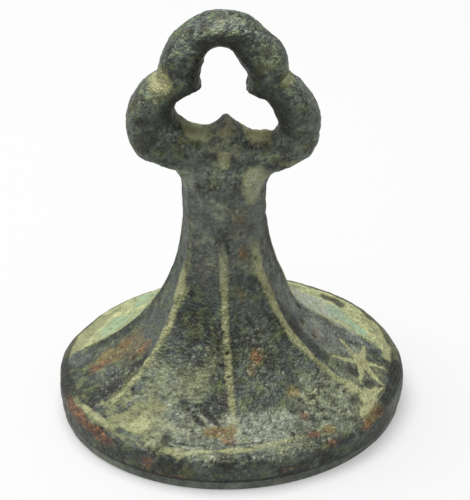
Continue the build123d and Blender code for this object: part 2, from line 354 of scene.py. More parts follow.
STEM_PATCHES: dict[Mark, tuple[Patch, ...]] = {
    Mark.WORN: (
        # Left side
        Patch(-61.0, 9.6, 0.34, 1.3),
        # Front
        Patch(-40.5, 1.9, 1.4, 1.3, 0.7, 1.0), Patch(-43.0, 3.2, 0.9, 0.9, 0.42),
        Patch(-54.2, 2.45, 0.55, 0.75, 0.62, 0.6, -18.0), Patch(-37.0, 1.2, 0.62, 0.72, 1.0, 0.3),
        Patch(-40.0, 0.8, 0.5, 0.3, 0.9, 0.6), Patch(-33.5, 2.7, 0.5, 0.4, 0.75, 0.6),
        Patch(-55.0, 0.3, 2.0, 0.22, 0.9, 0.3), Patch(-20.0, 0.1, 0.8, 0.4, 0.85, 0.6),
        Patch(-29.0, 1.2, 1.0, 0.7, 0.55, 0.9), Patch(56.6, 2.85, 0.32, 0.6, 0.9, 0.3),
        Patch(53.5, 0.4, 0.7, 0.3), Patch(14.0, 1.9, 2.0, 1.0, 0.3), Patch(-12.0, 1.8, 1.6, 1.0, 0.35),
        Patch(-20.0, 4.6, 0.9, 1.3, 0.5, 0.9), Patch(-13.0, 0.25, 1.5, 0.15, 0.9, 0.2, 10.0),
        Patch(1.0, 0.48, 1.3, 0.2, 0.95, 0.35), Patch(15.0, 0.63, 1.4, 0.2, 0.85, 0.45, 4.0),
        Patch(24.0, 0.7, 0.8, 0.18, 0.6, 0.5), Patch(-12.0, 6.0, 0.6, 1.4, 0.4, 0.7),
        Patch(-53.0, 8.6, 0.12, 1.4, 0.7, 0.45, -13.5),
        # Right side
        Patch(58.5, 1.9, 0.45, 0.8, 1.0, 0.25), Patch(60.0, 0.9, 1.1, 0.6, 1.0, 0.25),
        Patch(66.0, 0.45, 0.9, 0.22),
        # Back facets
        Patch(-104.0, 0.5, 1.4, 0.4, 0.8), Patch(-118.0, 0.9, 3.2, 0.4, 0.8),
        Patch(95.0, 0.7, 1.8, 0.35, 0.85), Patch(108.0, 0.7, 1.8, 0.4, 0.85),
        # Neck
        Patch(42.5, 11.6, 0.5, 1.1, 0.62, 0.3), Patch(45.0, 16.3, 0.85, 1.3, 1.0, 0.06),
        Patch(-70.0, 16.2, 0.7, 0.8, 0.7, 0.2), Patch(-8.0, 14.4, 0.2, 0.9, 0.35, 0.7),
        Patch(-56.8, 11.9, 0.1, 1.3, 0.6, 0.3),
    ),
    Mark.CRUST: (
        # Front
        Patch(38.0, 2.9, 0.6, 0.6, 0.5),
    ),
    Mark.TURQUOISE: (
        # Back facets
        Patch(-140.0, 2.5, 1.0, 0.8, 1.0, 0.8), Patch(-148.0, 1.3, 0.9, 0.6, 1.0, 0.8),
        Patch(-118.0, 2.6, 1.3, 0.7, 1.0, 0.8), Patch(-103.0, 6.4, 0.9, 1.5),
        Patch(114.0, 3.2, 1.1, 0.65, 0.75, 0.8), Patch(120.0, 2.5, 0.9, 0.5, 0.55, 0.8),
        Patch(104.5, 2.2, 0.95, 0.6, 1.0, 0.6), Patch(172.0, 2.2, 1.6, 0.9, 0.8, 0.9),
        Patch(-168.0, 4.2, 1.2, 1.3, 0.7, 0.9),
    ),
    Mark.OCHRE: (
        # Rim
        Patch(55.5, -0.2, 0.9, 0.4, 0.85),
        # Left side
        Patch(-83.5, 3.2, 0.8, 1.5, 0.7), Patch(-76.0, 4.8, 1.0, 1.0, 0.5),
        # Front
        Patch(18.8, 6.1, 0.5, 0.5, 0.7), Patch(13.0, 5.4, 0.3, 0.35, 0.7),
        Patch(16.0, 9.6, 0.3, 0.45, 0.5), Patch(31.5, 3.6, 0.45, 0.42, 0.85),
        Patch(36.0, 0.5, 0.4, 0.26, 0.8), Patch(-5.5, 1.7, 0.8, 0.35, 0.9),
        Patch(-33.0, 2.9, 0.4, 0.35, 0.2), Patch(0.2, 4.3, 0.25, 0.6, 0.35),
        Patch(54.0, 9.4, 0.25, 1.0, 0.4),
        # Right side
        Patch(76.0, 6.4, 0.5, 0.5, 0.4), Patch(78.0, 2.15, 0.35, 0.35, 0.35),
        # Neck
        Patch(-44.0, 12.9, 0.5, 0.8, 0.25), Patch(21.0, 14.6, 0.5, 0.5, 0.35),
        Patch(23.0, 12.3, 0.35, 0.6, 0.45),
    ),
    Mark.RUST: (
        # Rim
        Patch(-66.0, -0.35, 1.9, 0.42, 1.0, 0.25), Patch(-51.0, -0.5, 1.4, 0.38, 1.0, 0.25),
        Patch(-29.0, -0.9, 0.4, 0.45, 0.8), Patch(-22.5, -1.5, 1.2, 0.22, 0.55),
        Patch(20.0, -1.15, 1.0, 0.2, 0.5), Patch(34.5, -0.3, 0.5, 0.3, 0.55),
        Patch(57.0, -0.25, 0.5, 0.3, 0.6), Patch(50.0, -0.4, 0.4, 0.3, 0.6),
        # Left side
        Patch(-82.0, 2.5, 0.5, 0.9, 0.8, 0.7), Patch(-85.5, 4.3, 0.35, 0.6, 0.55),
        Patch(-66.0, 5.4, 0.5, 0.7, 0.55),
        # Front
        Patch(19.0, 6.1, 0.32, 0.36, 0.65), Patch(31.0, 1.95, 0.4, 0.28, 0.6),
        Patch(28.5, 0.6, 0.4, 0.26, 0.8), Patch(-5.0, 1.75, 0.35, 0.2, 0.6),
        Patch(-1.5, 1.1, 0.4, 0.22, 0.6),
        # Right side
        Patch(78.0, 5.4, 0.5, 0.4, 0.4),
        # Back facets
        Patch(176.0, 1.1, 0.7, 0.35, 0.6), Patch(136.0, 1.4, 0.8, 0.4, 0.5),
        # Neck
        Patch(-33.0, 11.6, 0.5, 1.3, 0.22, 0.3), Patch(19.0, 13.7, 0.55, 0.8, 0.24, 0.3),
        Patch(23.0, 12.3, 0.22, 0.5, 0.45),
    ),
    Mark.DARK: (
        # Left side
        Patch(-62.0, 2.1, 0.5, 0.5, 0.4), Patch(-70.5, 2.2, 0.6, 0.5, 0.4),
        # Front
        Patch(-31.5, 5.9, 0.3, 0.9, 0.55, 0.8), Patch(-26.0, 5.1, 0.3, 0.7, 0.5, 0.8),
        Patch(-10.0, 2.75, 0.85, 0.2, 0.9, 0.5, -42.0), Patch(-14.0, 2.4, 0.6, 0.16, 0.8, 0.5, -35.0),
        Patch(-16.0, 0.78, 1.6, 0.13, 0.75, 0.5), Patch(6.0, 0.88, 1.3, 0.11, 0.55, 0.5),
        Patch(-1.9, 6.38, 0.13, 0.12, 1.0, 0.1), Patch(-1.1, 5.04, 0.13, 0.1, 1.0, 0.1),
        Patch(-30.0, 9.0, 0.9, 2.0, 0.35, 0.6),
        # Right side; the first is painted shade, a dark band on the facet beside the right ridge
        Patch(61.5, 5.6, 0.4, 2.4, 0.5, 0.45, 12.0), Patch(66.5, 1.3, 0.45, 0.3, 0.8),
        Patch(68.5, 2.5, 0.35, 0.35, 0.65), Patch(87.5, 1.5, 0.45, 0.28, 0.6),
        Patch(76.5, 0.3, 0.9, 0.3, 0.6),
        # Back facets
        Patch(135.5, 1.4, 1.0, 0.6, 0.9),
    ),
    Mark.GRIT_AND_GLINTS: (
        # Rim, with grit along the edge that carries painted glints there
        Patch(4.0, -0.15, 5.5, 0.4),
        # Front
        Patch(12.0, 1.6, 3.4, 1.8), Patch(-18.0, 1.9, 3.2, 2.0), Patch(42.0, 2.5, 2.6, 2.4, 0.8),
        Patch(-50.0, 2.6, 2.6, 2.2, 0.7), Patch(-20.0, 5.5, 1.8, 2.6, 0.7),
        Patch(22.0, 5.5, 1.8, 2.6, 0.7),
        # Neck
        Patch(0.0, 14.0, 3.0, 3.0, 0.45),
    ),
    Mark.FILM: (
        # Left side
        Patch(-80.0, 3.0, 2.0, 2.2, 0.15, 0.3),
        # Front
        Patch(16.0, 1.6, 3.2, 1.9, 0.45, 0.3), Patch(-10.0, 1.6, 2.6, 1.7, 0.5, 0.3),
        Patch(44.0, 2.2, 2.6, 2.2, 0.55, 0.3), Patch(-24.0, 4.6, 1.6, 1.5, 0.5),
        Patch(22.0, 6.0, 1.4, 2.4, 0.2), Patch(-37.0, 3.0, 1.6, 2.4, 0.62, 0.4),
        # Right side
        Patch(72.0, 2.6, 1.8, 1.8, 0.4, 0.4),
    ),
    Mark.BLOOM: (
        # Front
        Patch(13.0, 1.9, 2.2, 1.2, 0.5, 0.5), Patch(-14.0, 1.6, 2.2, 1.3, 0.28, 0.5),
        # Right side
        Patch(90.5, 5.8, 0.6, 0.9, 0.5, 0.4), Patch(84.0, 5.4, 1.4, 2.4, 0.5, 0.4),
        Patch(68.0, 9.2, 0.6, 1.6, 0.35, 0.4), Patch(83.0, 7.7, 0.5, 1.3, 0.5, 0.4),
        # Back facets
        Patch(94.0, 3.9, 0.7, 1.6, 0.6, 0.4), Patch(-176.0, 5.6, 1.8, 1.6, 0.5, 0.5),
        Patch(128.0, 4.4, 2.2, 1.7, 1.0, 0.4), Patch(110.0, 6.2, 1.3, 1.6, 1.0, 0.3),
        # Neck
        Patch(-10.0, 13.6, 3.2, 3.0, 0.3, 0.3), Patch(50.0, 16.3, 0.9, 1.2, 0.5, 0.1),
        Patch(-66.0, 16.2, 0.9, 0.9, 0.8, 0.2), Patch(64.0, 11.2, 0.6, 1.5, 0.42, 0.4),
    ),
}
LOOP_PATCHES: dict[Mark, tuple[LoopPatch, ...]] = {
    Mark.WORN: (
        # Pale band on the top bar: wear, and a painted sheen
        LoopPatch((0.1, -0.6, 24.7), (1.1, 0.5, 0.4), 0.45, 0.8),
        LoopPatch((-3.45, -0.7, 21.4), (0.8, 1.3, 0.85), 0.9, 0.2),
        LoopPatch((3.65, -0.3, 21.4), (0.8, 1.5, 0.65), 1.0, 0.15),
        LoopPatch((2.5, -1.2, 22.9), (0.6, 0.7, 0.8), 0.36),
        LoopPatch((-4.0, -0.9, 20.5), (0.9, 1.0, 0.6), 0.36),
        LoopPatch((-1.7, 0.2, 18.1), (1.1, 1.4, 0.5), 0.9),
        LoopPatch((1.95, 0.1, 17.45), (1.1, 1.4, 0.42), 0.85),
        LoopPatch((-0.05, -1.6, 16.6), (0.36, 0.6, 0.45), 0.88, 0.45),
        LoopPatch((3.5, -1.2, 16.3), (0.8, 0.5, 0.25), 0.6),
        LoopPatch((1.75, -1.5, 15.3), (0.8, 1.1, 0.95), 1.0, 0.06),
        LoopPatch((-2.3, -0.7, 15.3), (0.7, 0.9, 0.7), 0.75, 0.12),
        LoopPatch((-1.35, -0.8, 22.0), (0.25, 0.4, 0.4), 0.45),
    ),
    Mark.OCHRE: (
        LoopPatch((-3.4, -0.8, 21.45), (0.8, 1.0, 0.8), 0.3),
        LoopPatch((1.95, -0.4, 17.3), (1.0, 1.0, 0.4), 0.4),
        LoopPatch((0.2, -1.0, 18.45), (0.6, 0.9, 0.6), 0.5),
        LoopPatch((-0.6, -1.5, 16.9), (0.4, 0.5, 0.5), 0.35),
    ),
    Mark.RUST: (
        LoopPatch((0.5, -1.5, 17.0), (0.3, 0.5, 0.35), 0.3),
    ),
    Mark.DARK: (
        # Painted shade on the inner half of the arch's front, next to the opening
        LoopPatch((0.0, -1.4, 23.8), (1.9, 0.6, 0.5), 0.85, 0.3),
    ),
    Mark.GRIT_AND_GLINTS: (
        # Grit on the top bar, where it carries painted glints
        LoopPatch((0.0, -0.4, 24.2), (2.8, 1.5, 1.0), 0.75),
    ),
    Mark.FILM: (
        LoopPatch((0.2, -0.8, 18.4), (0.7, 0.9, 0.7), 0.4),
    ),
    Mark.BLOOM: (
        # Bloom on the top bar, which also paints its sheen
        LoopPatch((0.1, -0.7, 24.6), (1.1, 0.5, 0.4), 0.3, 0.6),
        LoopPatch((3.6, -1.2, 18.0), (1.8, 1.0, 2.2), 0.18),
        LoopPatch((0.0, -1.6, 16.2), (2.4, 0.8, 1.2), 0.18),
        LoopPatch((-2.2, -0.8, 15.3), (0.8, 1.0, 0.8), 0.85, 0.12),
        LoopPatch((1.85, -1.4, 15.3), (0.8, 1.1, 0.9), 0.5, 0.06),
    ),
}


@dataclass
class FacetedStem:
    """Eight-sided stem that flares from a slim neck down to a round rim, with its struck star.

    Heights and radii are in mm and bearings in degrees. The sides follow an arc that is upright at the
    waist, and the front and back follow one that reaches out a little less. A swell of the rim is its
    bearing, its width and how far the rim and its edge stand out there. The pinch has a middle and a
    width for its bearing and for its height.
    """

    seat: float
    top: float
    rim_radius: float
    columns: int = 480
    flare_rows: int = 132
    neck_rows: int = 34
    belly_rows: int = 18
    edge_radius: float = 9.72
    edge_spread: float = 0.22
    edge_inset: float = 0.08
    belly_inset: float = 0.02
    wave_radius: float = 9.6
    wave_depth: float = 0.05
    nick_depth: float = 0.03
    spread_start: tuple[float, float] = (30.0, 75.0)
    spread_end: tuple[float, float] = (300.0, 180.0)
    swells: tuple[tuple[float, float, float, float], ...] = (
        (90.0, 16.0, 0.06, 0.0),
        (48.0, 15.0, 0.15, 0.0),
        (250.0, 16.0, 0.1, 0.12),
    )
    back_rise: float = 0.36
    back_bearing: float = 166.0
    back_width: float = 37.0
    back_radii: tuple[float, float] = (4.0, 9.0)
    back_climb: float = 1.4
    belly_height: float = 2.0
    seat_radius: float = 9.9
    lap: float = 0.22
    lap_inside: float = 9.53
    lap_chamfer: float = 0.07
    chamfer_rise: float = 0.1
    row_crowding: float = 1.25
    draw_in: float = 2.4
    edge_floor: float = 0.9
    edge_steps: int = 320
    edge_passes: int = 16
    edge_soft_rows: float = 5.0
    waist: float = 12.7
    flare_height: float = 10.73
    side_reach: float = 10.34
    side_waist: float = 2.43
    side_top: float = 2.47
    fillet_start: float = 14.4
    fillet_radius: float = 0.95
    fillet_share: float = 0.97
    left_slack: float = 0.45
    front_reach: float = 9.83
    front_waist: float = 2.54
    front_top: float = 2.34
    fall_angle: float = 1.27
    hollow: float = 0.012
    pinch: float = 0.1
    pinch_bearing: tuple[float, float] = (100.0, 32.0)
    pinch_height: tuple[float, float] = (6.5, 1.5)
    foot_flatness: float = 0.25
    flat_share: float = 0.45
    band_cut: float = 0.8
    lean: float = 0.08
    lean_climb: tuple[float, float] = (0.8, 4.8)
    stud_socket: tuple[float, float] = (2.1, 2.65)
    tenon_socket: tuple[float, float] = (1.2, 12.8)

    def half_widths(self, height: np.ndarray) -> tuple[np.ndarray, np.ndarray]:
        """Half widths across and front to back: arcs below the waist, a slow taper above it.

        Args:
            height: Heights above the table in mm.

        Returns:
            Half width across and half width front to back at each height.
        """
        drop = np.clip((self.waist - height) / self.flare_height, 0.0, 0.998)
        climb = np.clip((height - self.waist) / (self.top - self.waist), 0.0, None)
        spread = 1.0 - np.sqrt(1.0 - drop**2)
        side = self.side_waist + self.side_reach * spread + (self.side_top - self.side_waist) * climb**2
        front = self.front_waist + self.front_reach * spread + (self.front_top - self.front_waist) * climb
        return side, front

    def fillet(self, height: np.ndarray, bearing: np.ndarray) -> np.ndarray:
        """Width that the fillet under the loop adds across: a quarter round, smaller on the left.

        Args:
            height: Heights above the table in mm.
            bearing: Bearings in radians.

        Returns:
            The added half width in mm.
        """
        sweep = np.clip((height - self.fillet_start) / self.fillet_radius, 0.0, self.fillet_share)
        full = self.fillet_radius * (1.0 - np.sqrt(1.0 - sweep**2))
        return full * (1.0 - self.left_slack * np.clip(-np.sin(bearing), 0.0, 1.0))

    def leaning(self, points: np.ndarray) -> np.ndarray:
        """Points moved by the slight lean, which grows above the waist, and by the rim's rise at the back.

        Args:
            points: Points in mm.

        Returns:
            The moved points.
        """
        height = points[..., 2]
        lean_start, lean_end = self.lean_climb
        shift = self.lean * smooth_step(self.waist + lean_start, self.waist + lean_end, height)
        turn = np.degrees(np.arctan2(points[..., 0], -points[..., 1])) % 360.0
        back = self.back_rise * bell(turn, self.back_bearing, self.back_width)
        back = back * smooth_step(*self.back_radii, np.linalg.norm(points[..., :2], axis=-1))
        back = back * smooth_step(self.seat, self.seat + self.back_climb, height)
        return points + np.stack([shift, np.zeros_like(shift), back], axis=-1)

    def facet_place(self, height: np.ndarray) -> dict[str, np.ndarray]:
        """Where each point of a grid lies among the ridges, whose bearings drift from the foot to the neck.

        Args:
            height: Heights by row and column, in mm.

        Returns:
            By name: share across the facet, its span in radians, the angle to the nearest ridge, that
            ridge's number, the facet's number and the share of the way up from the foot.
        """
        bearing = np.linspace(0.0, 360.0, self.columns, endpoint=False)[None, :]
        drop = np.clip((self.waist - height) / self.flare_height, 0.0, 1.0)
        share = 1.0 - np.arcsin(drop) / self.fall_angle
        foot, neck, bow = (ridge_sizes(name) for name in ("foot", "neck", "bow"))
        part = np.clip(share, 0.0, 1.0)[..., None]
        lines = foot + (neck - foot) * part + bow * BOW_SCALE * part * (1.0 - part) ** 2
        turned = np.mod(bearing - lines[..., 0], 360.0)
        edges = np.concatenate([lines - lines[..., :1], np.full(lines.shape[:-1] + (1,), 360.0)], axis=-1)
        facet = np.sum(turned[..., None] >= edges[..., 1:-1], axis=-1)
        lower = np.take_along_axis(edges, facet[..., None], axis=-1)[..., 0]
        upper = np.take_along_axis(edges, facet[..., None] + 1, axis=-1)[..., 0]
        across = (turned - lower) / (upper - lower)
        return {
            "across": across,
            "span": np.radians(upper - lower),
            "near": np.radians(np.minimum(turned - lower, upper - turned)),
            "ridge": np.where(across < 0.5, facet, (facet + 1) % len(RIDGES)),
            "facet": facet,
            "share": share,
        }

    def outline(self, height: np.ndarray) -> tuple[np.ndarray, dict[str, np.ndarray]]:
        """Points of the facets: the ridge's half widths times the chord of the facet, a little hollowed.

        The chord is the cosine of half the span over the cosine of the angle from the facet's middle.
        Next to a ridge it is cut back to a narrow flat band, and one side of the flare is pinched in.

        Args:
            height: Heights by row and column, in mm.

        Returns:
            The points, and where they lie among the ridges, with the band's half width in mm added.
        """
        place = self.facet_place(height)
        side, front = self.half_widths(height)
        bearing = np.linspace(0.0, FULL_TURN, self.columns, endpoint=False)[None, :]
        side = side + self.fillet(height, bearing)
        across, span = place["across"], place["span"]
        chord = np.cos(span / 2.0) / np.cos((across - 0.5) * span)
        share = np.clip(place["share"], 0.0, 1.0)
        flatness = self.foot_flatness + (1.0 - self.foot_flatness) * smooth_step(0.0, self.flat_share, share)
        chord = 1.0 - (1.0 - chord) * flatness
        foot_width = ridge_sizes("foot_width")[place["ridge"]]
        neck_width = ridge_sizes("neck_width")[place["ridge"]]
        place["band"] = 0.5 * (foot_width + (neck_width - foot_width) * share)
        chord = np.minimum(chord, 1.0 - self.band_cut * place["band"] * np.tan(span / 2.0) / side)
        hollow = self.hollow * (1.0 - share) * (4.0 * across * (1.0 - across))
        pinch = self.pinch * bell(np.degrees(bearing), *self.pinch_bearing)
        pinch = pinch * bell(height, *self.pinch_height)
        factor = chord * (1.0 - hollow) * (1.0 - pinch)
        sideways = side * factor * np.sin(bearing)
        forward = -front * factor * np.cos(bearing)
        return np.stack([sideways, forward, height], axis=-1), place

    def edge_height(self, edge: np.ndarray) -> np.ndarray:
        """Height at which the flare reaches the rim's edge on each bearing, from a fine table of heights.

        Args:
            edge: Radius of the rim's edge on each bearing.

        Returns:
            The height on each bearing.
        """
        heights = np.linspace(self.waist, self.seat + self.edge_floor, self.edge_steps)
        points, _ = self.outline(np.repeat(heights[:, None], self.columns, axis=1))
        radius = np.linalg.norm(points[..., :2], axis=-1)
        step = np.clip(np.sum(radius < edge, axis=0), 1, len(heights) - 1)
        below = np.take_along_axis(radius, step[None, :] - 1, axis=0)[0]
        above = np.take_along_axis(radius, step[None, :], axis=0)[0]
        part = np.clip((edge - below) / np.maximum(above - below, 1e-6), 0.0, 1.0)
        return heights[step - 1] + part * (heights[step] - heights[step - 1])

    def rim_edge(self) -> tuple[np.ndarray, np.ndarray]:
        """Upper edge of the rim: a wavy circle that spreads towards the back and swells in places.

        Returns:
            Radius of the edge and swell of the whole rim on each bearing.
        """
        circle = unit_circle(self.columns) * self.wave_radius
        edge = self.edge_radius + self.wave_depth * Pattern.RIM_WAVES.on(circle)
        edge = edge + self.nick_depth * Pattern.RIM_NICKS.on(circle)
        turn = np.linspace(0.0, 360.0, self.columns, endpoint=False)
        spread = smooth_step(*self.spread_start, turn) * smooth_step(*self.spread_end, turn)
        edge = edge + self.edge_spread * spread
        swell = np.zeros(self.columns)
        for bearing, width, rim_swell, edge_swell in self.swells:
            swell = swell + rim_swell * bell(turn, bearing, width)
            edge = edge + edge_swell * bell(turn, bearing, width)
        return np.minimum(edge, self.rim_radius - self.edge_inset + swell), swell

    def rings(self) -> tuple[np.ndarray, dict[str, np.ndarray]]:
        """Plain surface from the lap over the die up the rim, the flare and the neck to the top.

        The rim's outline swells from the lap to its belly and draws in to its edge, both by about the
        square of the share of the height. The rows of the flare are even along its arc. Near the edge
        the rows are softened by averages of three.

        Returns:
            The rings of points, with the edge's row after the belly's rows, and the places among the
            ridges from that row upwards.
        """
        edge, swell = self.rim_edge()
        edge_height = self.edge_height(edge)
        angle = np.arcsin(np.clip((self.waist - edge_height) / self.flare_height, 0.0, 1.0))
        part = np.linspace(1.0, 0.0, self.flare_rows)[:, None]
        flare = self.waist - self.flare_height * np.sin(angle * part)
        neck = np.linspace(self.waist, self.top, self.neck_rows + 1)[1:, None] * np.ones(self.columns)
        upper, place = self.outline(np.concatenate([flare, neck]))
        rise = np.linspace(0.0, 1.0, self.belly_rows, endpoint=False)[:, None] ** self.row_crowding
        foot = self.seat - self.lap
        height = foot + (edge_height - foot) * rise
        below = np.clip((self.belly_height - height) / (self.belly_height - foot), 0.0, 1.0)
        above = np.clip((height - self.belly_height) / (edge_height - self.belly_height), 0.0, 1.0)
        radius = self.rim_radius - self.belly_inset + swell
        inwards = (radius - edge) * above**self.draw_in
        radius = radius - (radius - self.seat_radius - swell) * below**2 - inwards
        radius = radius - self.lap_chamfer * smooth_step(foot + self.chamfer_rise, foot, height)
        circle = unit_circle(self.columns)[None, :, :2]
        belly = np.concatenate([circle * radius[..., None], height[..., None]], axis=-1)
        rings = np.concatenate([belly, upper])
        soft = rings.copy()
        for _ in range(self.edge_passes):
            soft[1:-1] = 0.5 * soft[1:-1] + 0.25 * (soft[:-2] + soft[2:])
        near_edge = bell(np.arange(len(rings)), self.belly_rows, self.edge_soft_rows)[:, None, None]
        return rings + near_edge * (soft - rings), place

    def close(self, worn: np.ndarray, marks: Marks) -> Skin:
        """Skin closed by the seat with its socket for the stud and the top with its socket for the tenon.

        Args:
            worn: Rings of the outside.
            marks: Marks on the outside, by row and column.

        Returns:
            The closed skin with its marks.
        """
        stud_radius, stud_top = self.stud_socket
        tenon_radius, tenon_foot = self.tenon_socket
        under = ((stud_radius, stud_top), (stud_radius, self.seat), (self.lap_inside, self.seat))
        under = (*under, (self.lap_inside, self.seat - self.lap))
        over = ((tenon_radius, self.top), (tenon_radius, tenon_foot))
        circle = unit_circle(self.columns)
        inner = [[circle * radius + UPRIGHT * height for radius, height in rows] for rows in (under, over)]
        skin = ring_skin(self.leaning(np.concatenate([inner[0], worn, inner[1]])))
        for mark, values in marks.items():
            padded = np.pad(values, ((len(under), len(over)), (0, 0)))
            skin.marks[mark] = np.concatenate([padded.ravel(), [0.0, 0.0]])
        return skin

    def build(self, finish: "PatinatedBronze") -> None:
        """Adds the stem with its finish."""
        worn, marks = StemWear(self, *self.rings()).weather()
        self.close(worn, marks).piece("seal_stem", "stem_bronze", "stem", finish)


@dataclass
class StemWear:
    """Marks and relief on the outside of the stem.

    The rise is the way up the surface from the rim's edge in mm, and the turn is the bearing in degrees
    from the front, which is negative on the left. Depths are in mm; those of the grain and the flecks are
    a plain depth and what full grit adds.
    """

    stem: FacetedStem
    rings: np.ndarray
    place: dict[str, np.ndarray]
    ridge_proud: float = 0.05
    star_depth: float = 0.05
    star_top: float = 6.0
    ray_half_width: float = 0.38
    ray_taper: float = 0.27
    pit_depth: float = 0.09
    pit_heights: tuple[float, float] = (13.5, 11.5)
    dent_depth: float = 0.05
    grain_depth: tuple[float, float] = (0.02, 0.045)
    fleck_depth: tuple[float, float] = (0.012, 0.05)
    dark_depth: float = 0.1
    top_fade: float = 0.35
    lap_fade: float = 0.3
    rise: np.ndarray = field(init=False)
    turn: np.ndarray = field(init=False)
    ragged: np.ndarray = field(init=False)
    flecks: np.ndarray = field(init=False)
    marks: Marks = field(init=False)
    flare: slice = field(init=False)

    def __post_init__(self) -> None:
        """Works out each point's place and the noises that break up the marks' edges."""
        rows, columns = self.rings.shape[:2]
        lengths = np.linalg.norm(np.diff(self.rings, axis=0), axis=-1)
        climb = np.concatenate([np.zeros((1, columns)), np.cumsum(lengths, axis=0)])
        self.rise = climb - climb[self.stem.belly_rows]
        bearing = np.linspace(0.0, 360.0, columns, endpoint=False)[None, :]
        self.turn = np.mod(bearing + 180.0, 360.0) - 180.0
        self.ragged = Pattern.STEM_EDGES.on(self.rings)
        self.flecks = Pattern.STEM_FLECKS.on(self.rings)
        self.marks = bare_marks((rows, columns))
        self.flare = slice(self.stem.belly_rows, None)

    def ridge_bands(self) -> np.ndarray:
        """Lays worn metal on the ridges, in bands that die out at their ends.

        Returns:
            Share of the bands from the rim's edge upwards.
        """
        ridge, share, band = (self.place[name] for name in ("ridge", "share", "band"))
        gap = self.place["near"] * np.linalg.norm(self.rings[self.flare, :, :2], axis=-1)
        band = smooth_step(band + 0.18, band - 0.13, gap + 0.07 * self.ragged[self.flare])
        fade = smooth_step(1.0, ridge_sizes("fade")[ridge], share) * smooth_step(0.0, 0.12, share)
        worn = band * ridge_sizes("wear")[ridge] * fade * (0.85 + 0.3 * self.flecks[self.flare])
        self.marks[Mark.WORN][self.flare] = worn
        return band * fade

    def back_crust(self) -> np.ndarray:
        """Lays crust on the back facets, thinner up the flare and flaked off in part on the far back.

        Returns:
            Share of the crust from the rim's edge upwards, before its own ragged edge.
        """
        ragged = self.ragged[self.flare]
        coat = np.array(FACET_COATS)[self.place["facet"]]
        coat = coat * smooth_step(0.72, 0.52, self.place["share"] + 0.05 * ragged)
        behind = smooth_step(38.0, 20.0, 180.0 - np.abs(self.turn))
        flaked = smooth_step(-0.25, 0.35, Pattern.STEM_FLAKES.on(self.rings[self.flare]))
        coat = coat * (1.0 - 0.75 * behind * flaked)
        self.marks[Mark.CRUST][self.flare] = coat * smooth_step(-1.6, -0.8, ragged)
        return coat

    def rubbed_edge(self) -> np.ndarray:
        """Lays a rubbed line on the rim's edge at the front, fainter in its middle and to the right.

        Returns:
            Share of the rubbed front on each bearing.
        """
        line = bell(self.rise, 0.12, 0.26) * smooth_step(-0.5, 0.4, self.ragged + 0.25)
        front = smooth_step(66.0, 56.0, self.turn) * smooth_step(-78.0, -66.0, self.turn)
        line = line * (0.65 - 0.4 * bell(self.turn, 0.0, 26.0))
        line = line * (1.0 - 0.5 * bell(self.turn, 42.0, 10.0))
        lay(self.marks, Mark.WORN, line * front)
        return front

    def patches(self) -> None:
        """Lays the single patches, each by its distance across and along, turned by its lean."""
        plan_radius = np.linalg.norm(self.rings[..., :2], axis=-1)
        for mark, patches in STEM_PATCHES.items():
            for patch in patches:
                turn = np.mod(self.turn - patch.bearing + 180.0, 360.0) - 180.0
                sideways = np.radians(turn) * plan_radius
                upwards = self.rise - patch.rise
                lean = math.radians(patch.lean)
                first = (sideways * math.cos(lean) + upwards * math.sin(lean)) / patch.across
                second = (upwards * math.cos(lean) - sideways * math.sin(lean)) / patch.along
                reach = np.sqrt(first**2 + second**2) + patch.ragged * self.ragged
                lay(self.marks, mark, patch_share(reach, patch.strength))

    def star(self) -> np.ndarray:
        """Strikes the star: grooves along its rays, whose half width tapers with the root of the way out.

        Returns:
            Share of the grooves.
        """
        groove = np.zeros_like(self.rise)
        for angle, length in STAR_RAYS:
            way = np.array([math.cos(math.radians(angle)), math.sin(math.radians(angle))])
            offset = self.rings[..., :2] - np.array(STAR_CENTRE)
            along = np.clip(offset @ way, 0.0, length)
            reach = np.linalg.norm(offset - along[..., None] * way, axis=-1)
            taper = self.ray_half_width - self.ray_taper * np.sqrt(along / length)
            groove = np.maximum(groove, smooth_step(taper + 0.07, taper - 0.05, reach + 0.03 * self.flecks))
        groove[self.rings[..., 2] > self.star_top] = 0.0
        lay(self.marks, Mark.WORN, groove)
        self.marks[Mark.BLOOM] *= 1.0 - groove
        return groove

    def relief(self, bands: np.ndarray, groove: np.ndarray) -> np.ndarray:
        """How far the skin stands out: dents, grain that is stronger in grit, proud ridges, pits and star.

        It dies out towards the top and the lap, so that the joints stay true. The pits turn dark.

        Args:
            bands: Share of the ridges' bands from the rim's edge upwards.
            groove: Share of the star's grooves.

        Returns:
            The lift in mm along the normals.
        """
        height = self.rings[..., 2]
        grit = self.marks[Mark.GRIT_AND_GLINTS]
        lift = self.dent_depth * Pattern.STEM_DENTS.on(self.rings)
        plain, added = self.grain_depth
        lift = lift + (plain + added * grit) * Pattern.STEM_GRAIN.on(self.rings)
        plain, added = self.fleck_depth
        lift = lift + (plain + added * grit) * self.flecks - self.dark_depth * self.marks[Mark.DARK]
        lift[self.flare] += self.ridge_proud * bands
        pits = smooth_step(*PIT_LIMITS, Pattern.STEM_PITS.on(self.rings) + 0.14 * grit)
        pits = pits * (1.0 - self.marks[Mark.WORN]) * smooth_step(*self.pit_heights, height)
        lay(self.marks, Mark.DARK, 0.7 * pits)
        lift = lift - self.pit_depth * pits - self.star_depth * groove
        above_lap = height - self.stem.seat + self.stem.lap
        lift = lift * smooth_step(0.0, self.top_fade, self.stem.top - height)
        return lift * smooth_step(0.0, self.lap_fade, above_lap)

